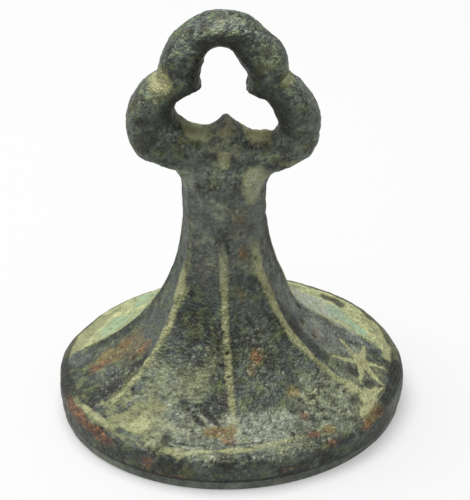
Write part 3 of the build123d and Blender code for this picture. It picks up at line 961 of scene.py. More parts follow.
    def rim_shade(self, front: np.ndarray) -> None:
        """Darkens the belly; paints shade in the seam over the die and along the rim's edge off the front;
        adds grit.

        Args:
            front: Share of the rubbed front on each bearing.
        """
        belly = smooth_step(0.0, -0.35, self.rise)
        belly_dark = belly * (0.3 + 0.5 * self.ragged + 0.3 * self.flecks)
        lay(self.marks, Mark.DARK, belly_dark * (1.0 - 0.7 * self.marks[Mark.RUST]))
        # Painted shade: a dark outline along the rim's edge away from the front
        line_top = 0.64 - 0.18 * smooth_step(-80.0, -100.0, self.turn)
        line = smooth_step(0.0, -0.24, self.rise - line_top + 0.1 * self.ragged)
        lay(self.marks, Mark.DARK, line * smooth_step(-0.5, -0.3, self.rise) * (1.0 - front))
        # Painted shade in the seam over the die
        above_lap = self.rings[..., 2] - self.stem.seat + self.stem.lap
        lay(self.marks, Mark.DARK, 0.9 * smooth_step(0.2, 0.06, above_lap))
        lay(self.marks, Mark.GRIT_AND_GLINTS, 0.25 + 0.2 * self.ragged + 0.25 * belly)
        self.marks[Mark.GRIT_AND_GLINTS] *= 1.0 - 0.6 * self.marks[Mark.WORN]

    def weather(self) -> tuple[np.ndarray, Marks]:
        """Lays all the marks in order and lifts the skin along its normals.

        Returns:
            The worn rings and their marks.
        """
        bands = self.ridge_bands()
        coat = self.back_crust()
        front = self.rubbed_edge()
        self.patches()
        self.marks[Mark.TURQUOISE][self.flare] *= smooth_step(0.2, 0.5, coat)
        lift = self.relief(bands, self.star())
        self.rim_shade(front)
        return self.rings + ring_normals(self.rings) * lift[..., None], self.marks


def mesh_values(items: Any, name: str, width: int, kind: type) -> np.ndarray:
    """One property of all the items of a mesh.

    Args:
        items: Vertices, normals, corners or faces.
        name: Name of the property.
        width: How many numbers it has.
        kind: Type of the numbers.

    Returns:
        A row of numbers for each item.
    """
    values = np.empty(len(items) * width, dtype=kind)
    items.foreach_get(name, values)
    return values.reshape(-1, width)


@dataclass
class TrefoilLoop:
    """Loop of three lobes with a cusped opening, on a collar that grows out of the stem's neck.

    Lengths are in mm. Places in the loop's plane are given as x and height, and a circle adds its
    radius. The fourth of the lobes' circles fills out the left lobe. A trim is a point of a straight
    line and the line's outward direction.
    """

    stem: FacetedStem
    depth: float = 3.0
    middle: tuple[float, float] = (0.2, 19.82)
    lobes: tuple[tuple[float, float, float], ...] = (
        (0.08, 21.3, 3.65),
        (2.26, 18.15, 3.2),
        (-2.3, 18.42, 3.17),
        (-3.1, 19.2, 1.86),
    )
    eyes: tuple[tuple[tuple[float, float, float], ...], ...] = (
        ((1.45, 19.0, 1.22), (2.13, 18.08, 0.97)),
        ((-1.12, 19.2, 1.38), (-1.75, 19.2, 0.98)),
    )
    trims: tuple[tuple[float, float, float, float], ...] = (
        (-2.9, 15.58, -0.394, -0.919),
        (3.0, 15.33, 0.394, -0.919),
        (2.28, 23.9, 0.69, 0.724),
    )
    heart: float = 0.9
    arch_foot: tuple[float, float, float] = (0.1, 21.1, 1.34)
    arch_top: tuple[float, float, float] = (-0.08, 22.4, 0.83)
    sharpness: float = 24.0
    flatness: float = 0.72
    top_thinning: float = 0.12
    thin_heights: tuple[float, float] = (22.0, 25.0)
    around: int = 420
    section: int = 72
    slide_steps: int = 30
    opening_passes: int = 3
    collar_top: float = 17.3
    collar_widening: float = 0.1
    collar_slimming: float = 0.52
    collar_rows: int = 30
    collar_step: int = 4
    tenon_radius: float = 1.1
    tenon_length: float = 2.2
    tenon_overlap: float = 1.0
    tenon_rows: int = 12
    tenon_columns: int = 64
    film: float = 0.1
    voxel: float = 0.062
    shape_passes: int = 20
    normal_passes: int = 80
    dent_depth: float = 0.06
    grain_depth: float = 0.045
    fleck_depth: float = 0.03
    pit_depth: float = 0.08
    pit_heights: tuple[float, float] = (15.6, 16.6)
    shade_heights: tuple[float, float] = (15.4, 16.2)

    def far_side(self, circles: np.ndarray, ways: np.ndarray) -> np.ndarray:
        """How far rays from the middle run to the far side of circles; 0 where a ray misses.

        With p the circle's middle seen from the rays' start, it is p along the ray plus the root of
        that squared less p squared plus the radius squared.

        Args:
            circles: Rows of x, height and radius.
            ways: Unit directions of the rays.

        Returns:
            Reach by circle and ray.
        """
        offset = circles[:, :2] - np.array(self.middle)
        along = offset @ ways.T
        inside = along**2 - np.sum(offset**2, axis=1)[:, None] + circles[:, 2:] ** 2
        return np.where(inside >= 0.0, along + np.sqrt(np.maximum(inside, 0.0)), 0.0)

    def outside(self, ways: np.ndarray) -> np.ndarray:
        """Reach of the outer outline: the softened farthest of the lobes' circles, trimmed by straight lines.

        Args:
            ways: Unit directions of the rays.

        Returns:
            Reach of each ray.
        """
        reach = self.far_side(np.array(self.lobes), ways)
        far = reach.max(axis=0)
        outer = np.log(np.sum(np.exp(self.sharpness * (reach - far)), axis=0)) / self.sharpness + far
        for across, height, normal_x, normal_z in self.trims:
            facing = ways @ np.array([normal_x, normal_z])
            gap = (across - self.middle[0]) * normal_x + (height - self.middle[1]) * normal_z
            limit = np.where(facing > 0.05, gap / np.maximum(facing, 0.05), 99.0)
            outer = -np.logaddexp(-self.sharpness * outer, -self.sharpness * limit) / self.sharpness
        return outer

    def opening(self, ways: np.ndarray) -> np.ndarray:
        """Reach of the opening: the farthest of circles that slide to each eye and up the arch.

        On the way their radius changes evenly from that of the first circle to that of the last.

        Args:
            ways: Unit directions of the rays.

        Returns:
            Reach of each ray, lightly softened.
        """
        start = (*self.middle, self.heart)
        slides = [(self.arch_foot, self.arch_top)]
        for belly, tip in self.eyes:
            slides += [(start, belly), (belly, tip)]
        part = np.linspace(0.0, 1.0, self.slide_steps)[:, None]
        trails = [np.array(first) + part * (np.array(last) - np.array(first)) for first, last in slides]
        inner = self.far_side(np.concatenate(trails), ways).max(axis=0)
        for _ in range(self.opening_passes):
            inner = 0.5 * inner + 0.25 * (np.roll(inner, 1) + np.roll(inner, -1))
        return inner

    def ring(self) -> Skin:
        """Loop as a rounded section carried round the middle, between the opening and the outer outline.

        The section is a cosine across, and front to back a sine that is flattened by a power. The loop
        gets a little thinner towards its top.

        Returns:
            The closed ring.
        """
        angle = np.linspace(0.0, FULL_TURN, self.around, endpoint=False)
        ways = np.stack([np.cos(angle), np.sin(angle)], axis=-1)
        outer = self.outside(ways)
        inner = self.opening(ways)
        turn = np.linspace(0.0, FULL_TURN, self.section, endpoint=False)
        side = np.sign(np.sin(turn)) * np.abs(np.sin(turn)) ** self.flatness
        half = 0.5 * (outer - inner)
        middle = 0.5 * (outer + inner)
        level = self.middle[1] + middle * np.sin(angle)
        thin = 1.0 - self.top_thinning * smooth_step(*self.thin_heights, level)
        radius = middle[:, None] + half[:, None] * np.cos(turn)
        across = self.middle[0] + radius * np.cos(angle)[:, None]
        height = self.middle[1] + radius * np.sin(angle)[:, None]
        grid = np.stack([across, 0.5 * self.depth * thin[:, None] * side, height], axis=-1)
        place = np.arange(self.around * self.section).reshape(self.around, self.section)
        ahead = np.roll(place, -1, axis=0)
        turned = np.roll(place, -1, axis=1)
        quads = np.stack([place, ahead, np.roll(ahead, -1, axis=1), turned], axis=-1).reshape(-1, 4)
        return Skin(grid.reshape(-1, 3), quads[:, ::-1], np.zeros((0, 3), dtype=int))

    def collar(self) -> Skin:
        """Collar as the neck's outline carried up to the end of its fillet under the lobes.

        From the stem's top on it also widens a little, and it slims from front to back.

        Returns:
            The closed collar.
        """
        height = np.linspace(self.stem.top - self.film, self.collar_top, self.collar_rows)
        level = np.minimum(height, self.stem.fillet_start + self.stem.fillet_share * self.stem.fillet_radius)
        neck, _ = self.stem.outline(np.repeat(level[:, None], self.stem.columns, axis=1))
        share = np.clip((height - self.stem.top) / (self.collar_top - self.stem.top), 0.0, 1.0)[:, None]
        across = neck[..., 0] * (1.0 + self.collar_widening * share**1.6)
        front = neck[..., 1] * (1.0 - self.collar_slimming * share**0.9)
        rings = np.stack([across, front, np.broadcast_to(height[:, None], across.shape)], axis=-1)
        return ring_skin(rings[:, :: self.collar_step])

    def tenon(self) -> Skin:
        """Round tenon under the collar, a short cylinder that goes into the stem.

        Returns:
            The closed tenon.
        """
        foot = self.stem.top + self.film - self.tenon_length
        height = np.linspace(foot, self.stem.top + self.tenon_overlap, self.tenon_rows)[:, None, None]
        return ring_skin(unit_circle(self.tenon_columns) * self.tenon_radius + height * UPRIGHT)

    def fuse(self, skins: list[Skin]) -> tuple[Skin, np.ndarray]:
        """One closed skin from skins that overlap, by a voxel remesh and a light smoothing.

        The normals come from a copy that is smoothed further, so that the steps of the voxels don't show.

        Args:
            skins: Closed skins in mm.

        Returns:
            The fused skin and its outward normals.
        """
        starts = np.cumsum([0] + [len(skin.points) for skin in skins])
        joined = Skin(
            np.concatenate([skin.points for skin in skins]),
            np.concatenate([skin.quads + start for skin, start in zip(skins, starts)]),
            np.concatenate([skin.triangles + start for skin, start in zip(skins, starts)]),
        )
        rough = bpy.data.objects.new("rough_loop", joined.mesh("rough_loop", 1.0))
        bpy.context.scene.collection.objects.link(rough)
        remesh = rough.modifiers.new("fuse", "REMESH")
        remesh.mode = "VOXEL"
        remesh.voxel_size = self.voxel
        relax = rough.modifiers.new("relax", "SMOOTH")
        relax.factor = 0.5
        graph = bpy.context.evaluated_depsgraph_get()
        meshes = []
        for passes in (self.shape_passes, self.normal_passes):
            relax.iterations = passes
            graph.update()
            meshes.append(bpy.data.meshes.new_from_object(rough.evaluated_get(graph), depsgraph=graph))
        fused, calm = meshes
        points = mesh_values(fused.vertices, "co", 3, float)
        normals = mesh_values(calm.vertex_normals, "vector", 3, float)
        corners = mesh_values(fused.loops, "vertex_index", 1, np.int32)[:, 0]
        sizes = mesh_values(fused.polygons, "loop_total", 1, np.int32)[:, 0]
        starts = np.concatenate([[0], np.cumsum(sizes)[:-1]])
        quads, triangles = (corners[starts[sizes == size][:, None] + np.arange(size)] for size in (4, 3))
        meshes.append(rough.data)
        bpy.data.objects.remove(rough)
        for mesh in meshes:
            bpy.data.meshes.remove(mesh)
        return Skin(points, quads, triangles), normals

    def wear(self, skin: Skin, normals: np.ndarray) -> None:
        """Gives the loop its corroded, granular skin and the marks on it, with painted shade on the inner
        walls and a painted dark outline.

        Args:
            skin: Plain fused skin, which is changed.
            normals: Its outward normals.
        """
        points = skin.points
        height = points[:, 2]
        marks = bare_marks(len(points))
        ragged = Pattern.LOOP_EDGES.on(points)
        pits = smooth_step(*PIT_LIMITS, Pattern.LOOP_PITS.on(points)) * smooth_step(*self.pit_heights, height)
        lift = self.dent_depth * Pattern.LOOP_DENTS.on(points)
        lift = lift + self.grain_depth * Pattern.LOOP_GRAIN.on(points)
        lift = lift + self.fleck_depth * Pattern.LOOP_FLECKS.on(points) - self.pit_depth * pits
        lift = lift * smooth_step(self.stem.top + 0.05, self.stem.top + 0.6, height)
        offset = points[:, [0, 2]] - np.array(self.middle)
        outward = np.sum(normals[:, [0, 2]] * offset, axis=-1) / np.linalg.norm(offset, axis=-1)
        # Painted shade: darkening on the inner walls of the opening, which face the middle and not up
        shaded = smooth_step(0.35, -0.45, outward) * smooth_step(0.3, -0.2, normals[:, 2])
        # Painted shade: a dark outline on the loop's outer sides, and on its back where it faces outwards
        painted_outline = 0.6 * smooth_step(0.8, 1.0, outward) * smooth_step(0.9, 0.5, normals[:, 2])
        behind = smooth_step(0.2, 0.5, normals[:, 1]) * smooth_step(0.4, 0.7, outward)
        painted_outline = np.maximum(painted_outline, behind * np.clip(0.7 + 0.5 * ragged, 0.0, 1.0))
        lay(marks, Mark.DARK, 0.7 * pits)
        # The painted shade and the painted dark outline go on above the collar only
        above_collar = smooth_step(*self.shade_heights, height)
        lay(marks, Mark.DARK, 0.85 * above_collar * np.maximum(shaded, painted_outline))
        marks[Mark.GRIT_AND_GLINTS] = 0.58 + 0.25 * ragged
        for mark, patches in LOOP_PATCHES.items():
            for patch in patches:
                reach = np.linalg.norm((points - np.array(patch.middle)) / np.array(patch.reach), axis=-1)
                lay(marks, mark, patch_share(reach + patch.ragged * ragged, patch.strength))
        marks[Mark.GRIT_AND_GLINTS] *= 1.0 - 0.6 * marks[Mark.WORN]
        skin.marks = marks
        skin.points = points + normals * lift[:, None]

    def build(self, finish: "PatinatedBronze") -> None:
        """Adds the loop with its finish.

        Args:
            finish: Finish of the bronze.
        """
        skin, normals = self.fuse([self.ring(), self.collar(), self.tenon()])
        self.wear(skin, normals)
        skin.points = self.stem.leaning(skin.points)
        skin.piece("seal_loop", "loop_bronze", "trefoil_loop", finish)


@dataclass
class EngravedDie:
    """Round die plate with a stud on its back and a rosette inside two rings cut into its face, in mm.

    A cut's depth is a share of the greatest depth. Leaves are the narrow cuts between the petals.
    """

    radius: float
    thickness: float
    stud_top: float
    stud_radius: float = 2.0
    step_radius: float = 9.49
    step_height: float = 0.61
    chamfer: float = 0.14
    middle_radius: float = 0.05
    columns: int = 420
    face_rows: int = 130
    edge_rows: int = 10
    border_rings: tuple[float, ...] = (8.72, 6.03)
    groove_half_width: float = 0.2
    groove_depth: float = 0.6
    pellet_circle: float = 7.38
    pellet_radius: float = 0.52
    pellet_depth: float = 0.85
    pellet_count: int = 24
    petal_count: int = 6
    petal_start: float = 0.6
    petal_length: float = 4.4
    petal_half_width: float = 0.95
    leaf_length: float = 3.1
    leaf_half_width: float = 0.3
    cut_depth: float = 0.35
    ripple_depth: float = 0.03

    def hollow(self, share: np.ndarray) -> np.ndarray:
        """Profile of a worn cut: 1 less the squared share of its half width."""
        return np.clip(1.0 - share**2, 0.0, 1.0)

    def around(self, bearing: np.ndarray, count: int, shift: float) -> np.ndarray:
        """Bearings from the nearest of some cuts that stand evenly round the face, shifted by a share."""
        step = FULL_TURN / count
        return np.mod(bearing + (shift + 0.5) * step, step) - 0.5 * step

    def cut(self, radius: np.ndarray, bearing: np.ndarray) -> np.ndarray:
        """Depth of the engraving: round grooves, round hollows for pellets and lens-shaped petals.

        All have the same hollow profile, across a groove, out from a pellet's middle and across a petal,
        whose half width and depth follow half a sine along its length.

        Args:
            radius: Distances from the middle of the face.
            bearing: Bearings in radians.

        Returns:
            Depth in mm at each point.
        """
        turn = self.around(bearing, self.pellet_count, 0.0)
        gap = np.hypot(radius * np.cos(turn) - self.pellet_circle, radius * np.sin(turn))
        depth = self.pellet_depth * self.hollow(gap / self.pellet_radius)
        for ring in self.border_rings:
            groove = self.groove_depth * self.hollow((radius - ring) / self.groove_half_width)
            depth = np.maximum(depth, groove)
        petal = (0.0, self.petal_length, self.petal_half_width)
        leaf = (0.5, self.leaf_length, self.leaf_half_width)
        for shift, length, width in (petal, leaf):
            turn = self.around(bearing, self.petal_count, shift)
            along = (radius * np.cos(turn) - self.petal_start) / length
            inside = np.sin(math.pi * np.clip(along, 0.0, 1.0))
            aside = np.abs(radius * np.sin(turn)) / (width * np.maximum(inside, 1e-6))
            depth = np.maximum(depth, inside * self.hollow(aside))
        return self.cut_depth * depth

    def build(self, finish: "PatinatedBronze") -> None:
        """Adds the die: rings out over the face, up the edge, in over the back and up the stud.

        Args:
            finish: Finish of the bronze.
        """
        bearing = np.linspace(0.0, FULL_TURN, self.columns, endpoint=False)[None, :]
        face = np.linspace(self.middle_radius, self.radius - self.chamfer, self.face_rows)
        edge = np.full(self.edge_rows, self.radius)
        edge[0] = self.radius - 0.3 * self.chamfer
        edge_height = np.linspace(0.6 * self.chamfer, self.step_height, self.edge_rows)
        back = [self.step_radius, self.step_radius, self.stud_radius, self.stud_radius, self.middle_radius]
        back_height = [self.step_height, self.thickness, self.thickness, self.stud_top, self.stud_top]
        radius = np.concatenate([face, edge, back])[:, None]
        height = np.concatenate([np.zeros_like(face), edge_height, back_height])[:, None]
        height = height * np.ones_like(bearing)
        height[: self.face_rows] = self.cut(face[:, None], bearing)
        rings = np.stack([radius * np.sin(bearing), -radius * np.cos(bearing), height], axis=-1)
        outside = slice(self.face_rows, self.face_rows + self.edge_rows)
        ripple = self.ripple_depth * np.abs(Pattern.DIE_RIPPLES.on(rings[outside]))
        rings[outside, :, :2] *= 1.0 - ripple[..., None] / self.radius
        skin = ring_skin(rings)
        skin.marks = bare_marks(len(skin.points))
        ragged = Pattern.DIE_EDGES.on(skin.points)
        skin.marks[Mark.WORN] = 0.35 * smooth_step(0.0, 0.8, ragged)
        # Whitish bloom over the die, partly a painted reflection of the white table on its edge
        skin.marks[Mark.BLOOM] = 0.48 + 0.2 * ragged
        # Painted shade in the seam under the stem: the die's top edge and back are dark
        skin.marks[Mark.DARK] = 0.9 * smooth_step(0.5, 0.6, skin.points[:, 2])
        skin.piece("seal_die", "die_bronze", "die_plate", finish)


def linear_colour(code: str) -> tuple[float, float, float, float]:
    """Linear colour of an sRGB hex code: each part over 12.92 when small, else the 2.4 power curve.

    Args:
        code: Six hex digits after a number sign.

    Returns:
        Linear red, green and blue, with full alpha.
    """
    parts = [int(code[place : place + 2], 16) / 255.0 for place in (1, 3, 5)]
    linear = [part / 12.92 if part <= 0.04045 else ((part + 0.055) / 1.055) ** 2.4 for part in parts]
    return linear[0], linear[1], linear[2], 1.0


def per_metre(size: float) -> float:
    """Pattern scale on Object coordinates for a pattern of this size in mm."""
    return 1.0 / (size * MM)


def empty_tree(owner: Any) -> bpy.types.NodeTree:
    """Node tree of a new material or world, with nothing in it.

    Args:
        owner: The material or world.

    Returns:
        Its empty node tree.
    """
    owner.use_nodes = True
    owner.node_tree.nodes.clear()
    return owner.node_tree


def add_node(tree: bpy.types.NodeTree, kind: str, inputs: dict[Any, Any], **settings: Any) -> bpy.types.Node:
    """Node with its settings, its input values and its links.

    Args:
        tree: Node tree of the material or world.
        kind: Node type.
        inputs: Value, or output socket to link from, by input name or number.
        **settings: Properties of the node.

    Returns:
        The new node.
    """
    node = tree.nodes.new(kind)
    for name, value in settings.items():
        setattr(node, name, value)
    for key, value in inputs.items():
        if isinstance(value, bpy.types.NodeSocket):
            tree.links.new(value, node.inputs[key])
        else:
            node.inputs[key].default_value = value
    return node


class Step(Enum):
    """Ways to work out a share from others: the node, its setting and the choice there.

    A rise is smooth, from the first limit to the second, and goes from 0 to 1 or between two more limits.
    """

    RISE = ("ShaderNodeMapRange", "interpolation_type", "SMOOTHSTEP")
    PLUS = ("ShaderNodeMath", "operation", "ADD")
    LESS = ("ShaderNodeMath", "operation", "SUBTRACT")
    TIMES = ("ShaderNodeMath", "operation", "MULTIPLY")
    TIMES_PLUS = ("ShaderNodeMath", "operation", "MULTIPLY_ADD")


# How far flecks break up each mark's edge, and the shares at which that edge starts and is full
BROKEN_MARKS = (
    (Mark.CRUST, 1.0, 0.15, 0.85),
    (Mark.WORN, 1.0, 0.15, 0.85),
    (Mark.DARK, 0.8, 0.15, 0.85),
    (Mark.TURQUOISE, 1.0, 0.02, 0.98),
    (Mark.OCHRE, 1.0, 0.02, 0.98),
    (Mark.RUST, 1.0, 0.02, 0.98),
)


@dataclass(frozen=True)
class PatinatedBronze:
    """Cast bronze with an old grey-green patina: matt and granular, pale where worn, rust-stained in places,
    with painted glints.

    Sizes of the patterns are in mm.
    """

    name: str
    skin: str = "#5d6661"
    shade: str = "#31362f"
    olive: str = "#70784a"
    green: str = "#677a42"
    brown: str = "#665a50"
    worn: str = "#868a61"
    worn_light: str = "#babc8c"
    crust: str = "#b0b884"
    crust_light: str = "#d4d396"
    turquoise: str = "#9cbd9c"
    ochre: str = "#8c7c4c"
    rust: str = "#926745"
    rust_deep: str = "#694a39"
    # Colour of dark grains and of the darkening mark, which holds painted shade as well as pits
    pit_and_shade: str = "#22251f"
    grain_light: str = "#858d76"
    # Colour of the painted glints, highlights laid into the base colour
    glint: str = "#c9cab8"
    film: str = "#aab08e"
    bloom: str = "#afb6a8"
    cloud_size: float = 2.4
    blotch_size: float = 0.9
    tint_size: float = 0.6
    grain_size: float = 0.17
    fleck_size: float = 0.3
    noise_roughness: float = 0.62
    olive_share: float = 0.7
    # Share of the painted glints
    glint_share: float = 0.7
    bump_depth: float = 0.1
    metallic: float = 0.1

    def steps(self) -> list[tuple[Any, ...]]:
        """Steps from noises, grains and marks to shares: a name, the way and what goes into it.

        Returns:
            The steps in order.
        """
        steps: list[tuple[Any, ...]] = [("sway", Step.LESS, "fleck", 0.5)]
        for mark, ragged, start, full in BROKEN_MARKS:
            name = mark.value
            steps += [
                (f"{name}_near", Step.RISE, name, 0.0, 0.3),
                (f"{name}_loose", Step.TIMES, "sway", f"{name}_near"),
                (f"{name}_broken", Step.TIMES_PLUS, f"{name}_loose", ragged, name),
                (f"{name}_edge", Step.RISE, f"{name}_broken", start, full),
            ]
        return steps + [
            # Ground colours of the skin
            ("ground", Step.RISE, "cloud", 0.38, 0.62),
            ("olive", Step.RISE, "blotch", 0.48, 0.66, 0.0, self.olive_share),
            ("green", Step.RISE, "tint", 0.54, 0.7, 0.0, 0.45),
            ("brown", Step.RISE, "tint", 0.48, 0.32, 0.0, 0.4),
            ("bare", Step.LESS, 1.0, "bloom"),
            # Coats and grains
            ("pale_crust", Step.RISE, "blotch", 0.45, 0.65),
            ("thin", Step.RISE, "blotch", 0.35, 0.65, 0.45, 1.0),
            ("gritty", Step.TIMES_PLUS, "grit", 0.55, 0.06),
            ("light_grain", Step.RISE, "fleck", 0.54, 0.66),
            ("dark_grain", Step.RISE, "fleck", 0.46, 0.36),
            ("rubbed", Step.RISE, "worn", 0.7, 1.0, 0.0, 0.65),
            ("patchy", Step.RISE, "blotch", 0.35, 0.65, 0.0, 0.4),
            ("pale_metal", Step.PLUS, "rubbed", "patchy"),
            ("flaked_blotch", Step.RISE, "blotch", 0.4, 0.58, 0.2, 0.6),
            ("flaked_fleck", Step.RISE, "fleck", 0.42, 0.58, 0.0, 0.4),
            ("flaked", Step.PLUS, "flaked_blotch", "flaked_fleck"),
            ("bright_rust", Step.RISE, "fleck", 0.4, 0.62),
            # Light and dark of single grains, calmer on worn metal
            ("coarse", Step.TIMES_PLUS, "grit", 0.6, 0.42),
            ("calm", Step.TIMES_PLUS, "worn", -0.55, 1.0),
            ("contrast", Step.TIMES, "coarse", "calm"),
            ("fleck_value", Step.TIMES_PLUS, "fleck", 0.8, -1.6),
            ("grain_value", Step.TIMES_PLUS, "toss", 0.6, "fleck_value"),
            ("tint_value", Step.TIMES_PLUS, "tint", 1.8, "grain_value"),
            ("value", Step.TIMES_PLUS, "tint_value", "contrast", 1.0),
            # Painted glints, highlights laid into the colour, on the grittiest grains away from the darkened
            # places
            ("spark", Step.RISE, "toss", 0.91, 0.97, 0.0, self.glint_share),
            ("grit_squared", Step.TIMES, "grit", "grit"),
            ("gritty_spark", Step.TIMES, "spark", "grit_squared"),
            ("clean", Step.LESS, 1.0, "dark"),
            ("glints", Step.TIMES, "gritty_spark", "clean"),
            # Sheen and relief
            ("roughness", Step.TIMES_PLUS, "fleck", 0.3, 0.36),
            ("swell", Step.TIMES_PLUS, "fleck", 1.4, "toss"),
            ("height", Step.LESS, "swell", "gap"),
        ]

    def shares(self, tree: bpy.types.NodeTree) -> dict[Any, Any]:
        """Adds the noises, the cells that stand for grains, the marks and all the steps.

        Args:
            tree: Node tree of the material.

        Returns:
            Output socket of each by name.
        """
        place = add_node(tree, "ShaderNodeTexCoord", {}).outputs["Object"]
        cells = add_node(tree, "ShaderNodeTexVoronoi", {"Vector": place, "Scale": per_metre(self.grain_size)})
        parts = add_node(tree, "ShaderNodeSeparateColor", {"Color": cells.outputs["Color"]})
        shares: dict[Any, Any] = {"gap": cells.outputs["Distance"], "toss": parts.outputs["Red"]}
        for name, size, detail in (
            ("cloud", self.cloud_size, 4.0),
            ("blotch", self.blotch_size, 4.0),
            ("tint", self.tint_size, 4.0),
            ("fleck", self.fleck_size, 3.0),
        ):
            inputs = {"Vector": place, "Scale": per_metre(size), "Detail": detail}
            inputs["Roughness"] = self.noise_roughness
            shares[name] = add_node(tree, "ShaderNodeTexNoise", inputs).outputs["Fac"]
        for mark in Mark:
            source = {"attribute_name": mark.value, "attribute_type": "GEOMETRY"}
            shares[mark.value] = add_node(tree, "ShaderNodeAttribute", {}, **source).outputs["Fac"]
        for name, step, *terms in self.steps():
            kind, setting, choice = step.value
            inputs = {number: shares.get(term, term) for number, term in enumerate(terms)}
            shares[name] = add_node(tree, kind, inputs, **{setting: choice}).outputs[0]
        return shares

    def material(self) -> bpy.types.Material:
        """Node material of the bronze: coats of colour, each laid over the last by a share and a factor.

        Returns:
            The new material.
        """
        material = bpy.data.materials.new(self.name)
        tree = empty_tree(material)
        shares = self.shares(tree)
        tones: dict[str, Any] = {}
        for name, under, over in (
            ("ground", self.shade, self.skin),
            ("pale_crust", self.crust, self.crust_light),
            ("pale_metal", self.worn, self.worn_light),
            ("bright_rust", self.rust_deep, self.rust),
        ):
            inputs = {0: shares[name], 6: linear_colour(under), 7: linear_colour(over)}
            tones[name] = add_node(tree, "ShaderNodeMix", inputs, data_type="RGBA").outputs[2]
        colour = tones["ground"]
        for share, factor, over in (
            ("olive", "bare", self.olive),
            ("green", "bare", self.green),
            ("brown", 1.0, self.brown),
            ("crust_edge", 1.0, "pale_crust"),
            ("film", "thin", self.film),
            ("light_grain", "gritty", self.grain_light),
            ("dark_grain", "gritty", self.pit_and_shade),
            ("worn_edge", 1.0, "pale_metal"),
            ("bloom", "thin", self.bloom),
            ("turquoise_edge", "flaked", self.turquoise),
            ("ochre_edge", 0.8, self.ochre),
            ("rust_edge", 0.85, "bright_rust"),
            # Darkening mark in the dark colour: pits, and painted shade
            ("dark_edge", 0.8, self.pit_and_shade),
        ):
            inputs = {0: shares[share], 1: shares.get(factor, factor)}
            part = add_node(tree, "ShaderNodeMath", inputs, operation="MULTIPLY").outputs["Value"]
            inputs = {0: part, 6: colour, 7: tones[over] if over in tones else linear_colour(over)}
            colour = add_node(tree, "ShaderNodeMix", inputs, data_type="RGBA").outputs[2]
        inputs = {"Value": shares["value"], "Color": colour}
        colour = add_node(tree, "ShaderNodeHueSaturation", inputs).outputs["Color"]
        # Painted glints: highlights laid into the colour
        inputs = {0: shares["glints"], 6: colour, 7: linear_colour(self.glint)}
        colour = add_node(tree, "ShaderNodeMix", inputs, data_type="RGBA").outputs[2]
        inputs = {"Strength": 1.0, "Distance": self.bump_depth * MM, "Height": shares["height"]}
        bump = add_node(tree, "ShaderNodeBump", inputs).outputs["Normal"]
        inputs = {"Base Color": colour, "Roughness": shares["roughness"], "Normal": bump}
        shader = add_node(tree, "ShaderNodeBsdfPrincipled", {**inputs, "Metallic": self.metallic})
        add_node(tree, "ShaderNodeOutputMaterial", {"Surface": shader.outputs["BSDF"]})
        return material


@dataclass(frozen=True)
class OxidisedSolder:
    """Old hard solder in the joints: near black, dull and a little rough, so a joint reads as a dark line.

    Sizes are in mm.
    """

    name: str = "oxidised_hard_solder"
    dark: str = "#3d4039"
    light: str = "#55584e"
    grain_size: float = 0.4
    bump_depth: float = 0.03
    metallic: float = 0.3
    roughness: float = 0.7

    def material(self) -> bpy.types.Material:
        """Node material of the solder.

        Returns:
            The new material.
        """
        material = bpy.data.materials.new(self.name)
        tree = empty_tree(material)
        place = add_node(tree, "ShaderNodeTexCoord", {}).outputs["Object"]
        inputs = {"Vector": place, "Scale": per_metre(self.grain_size), "Detail": 3.0}
        grain = add_node(tree, "ShaderNodeTexNoise", inputs).outputs["Fac"]
        inputs = {0: grain, 6: linear_colour(self.dark), 7: linear_colour(self.light)}
        colour = add_node(tree, "ShaderNodeMix", inputs, data_type="RGBA").outputs[2]
        inputs = {"Strength": 0.4, "Distance": self.bump_depth * MM, "Height": grain}
        bump = add_node(tree, "ShaderNodeBump", inputs).outputs["Normal"]
        inputs = {"Base Color": colour, "Roughness": self.roughness, "Normal": bump}
        shader = add_node(tree, "ShaderNodeBsdfPrincipled", {**inputs, "Metallic": self.metallic})
        add_node(tree, "ShaderNodeOutputMaterial", {"Surface": shader.outputs["BSDF"]})
        return material


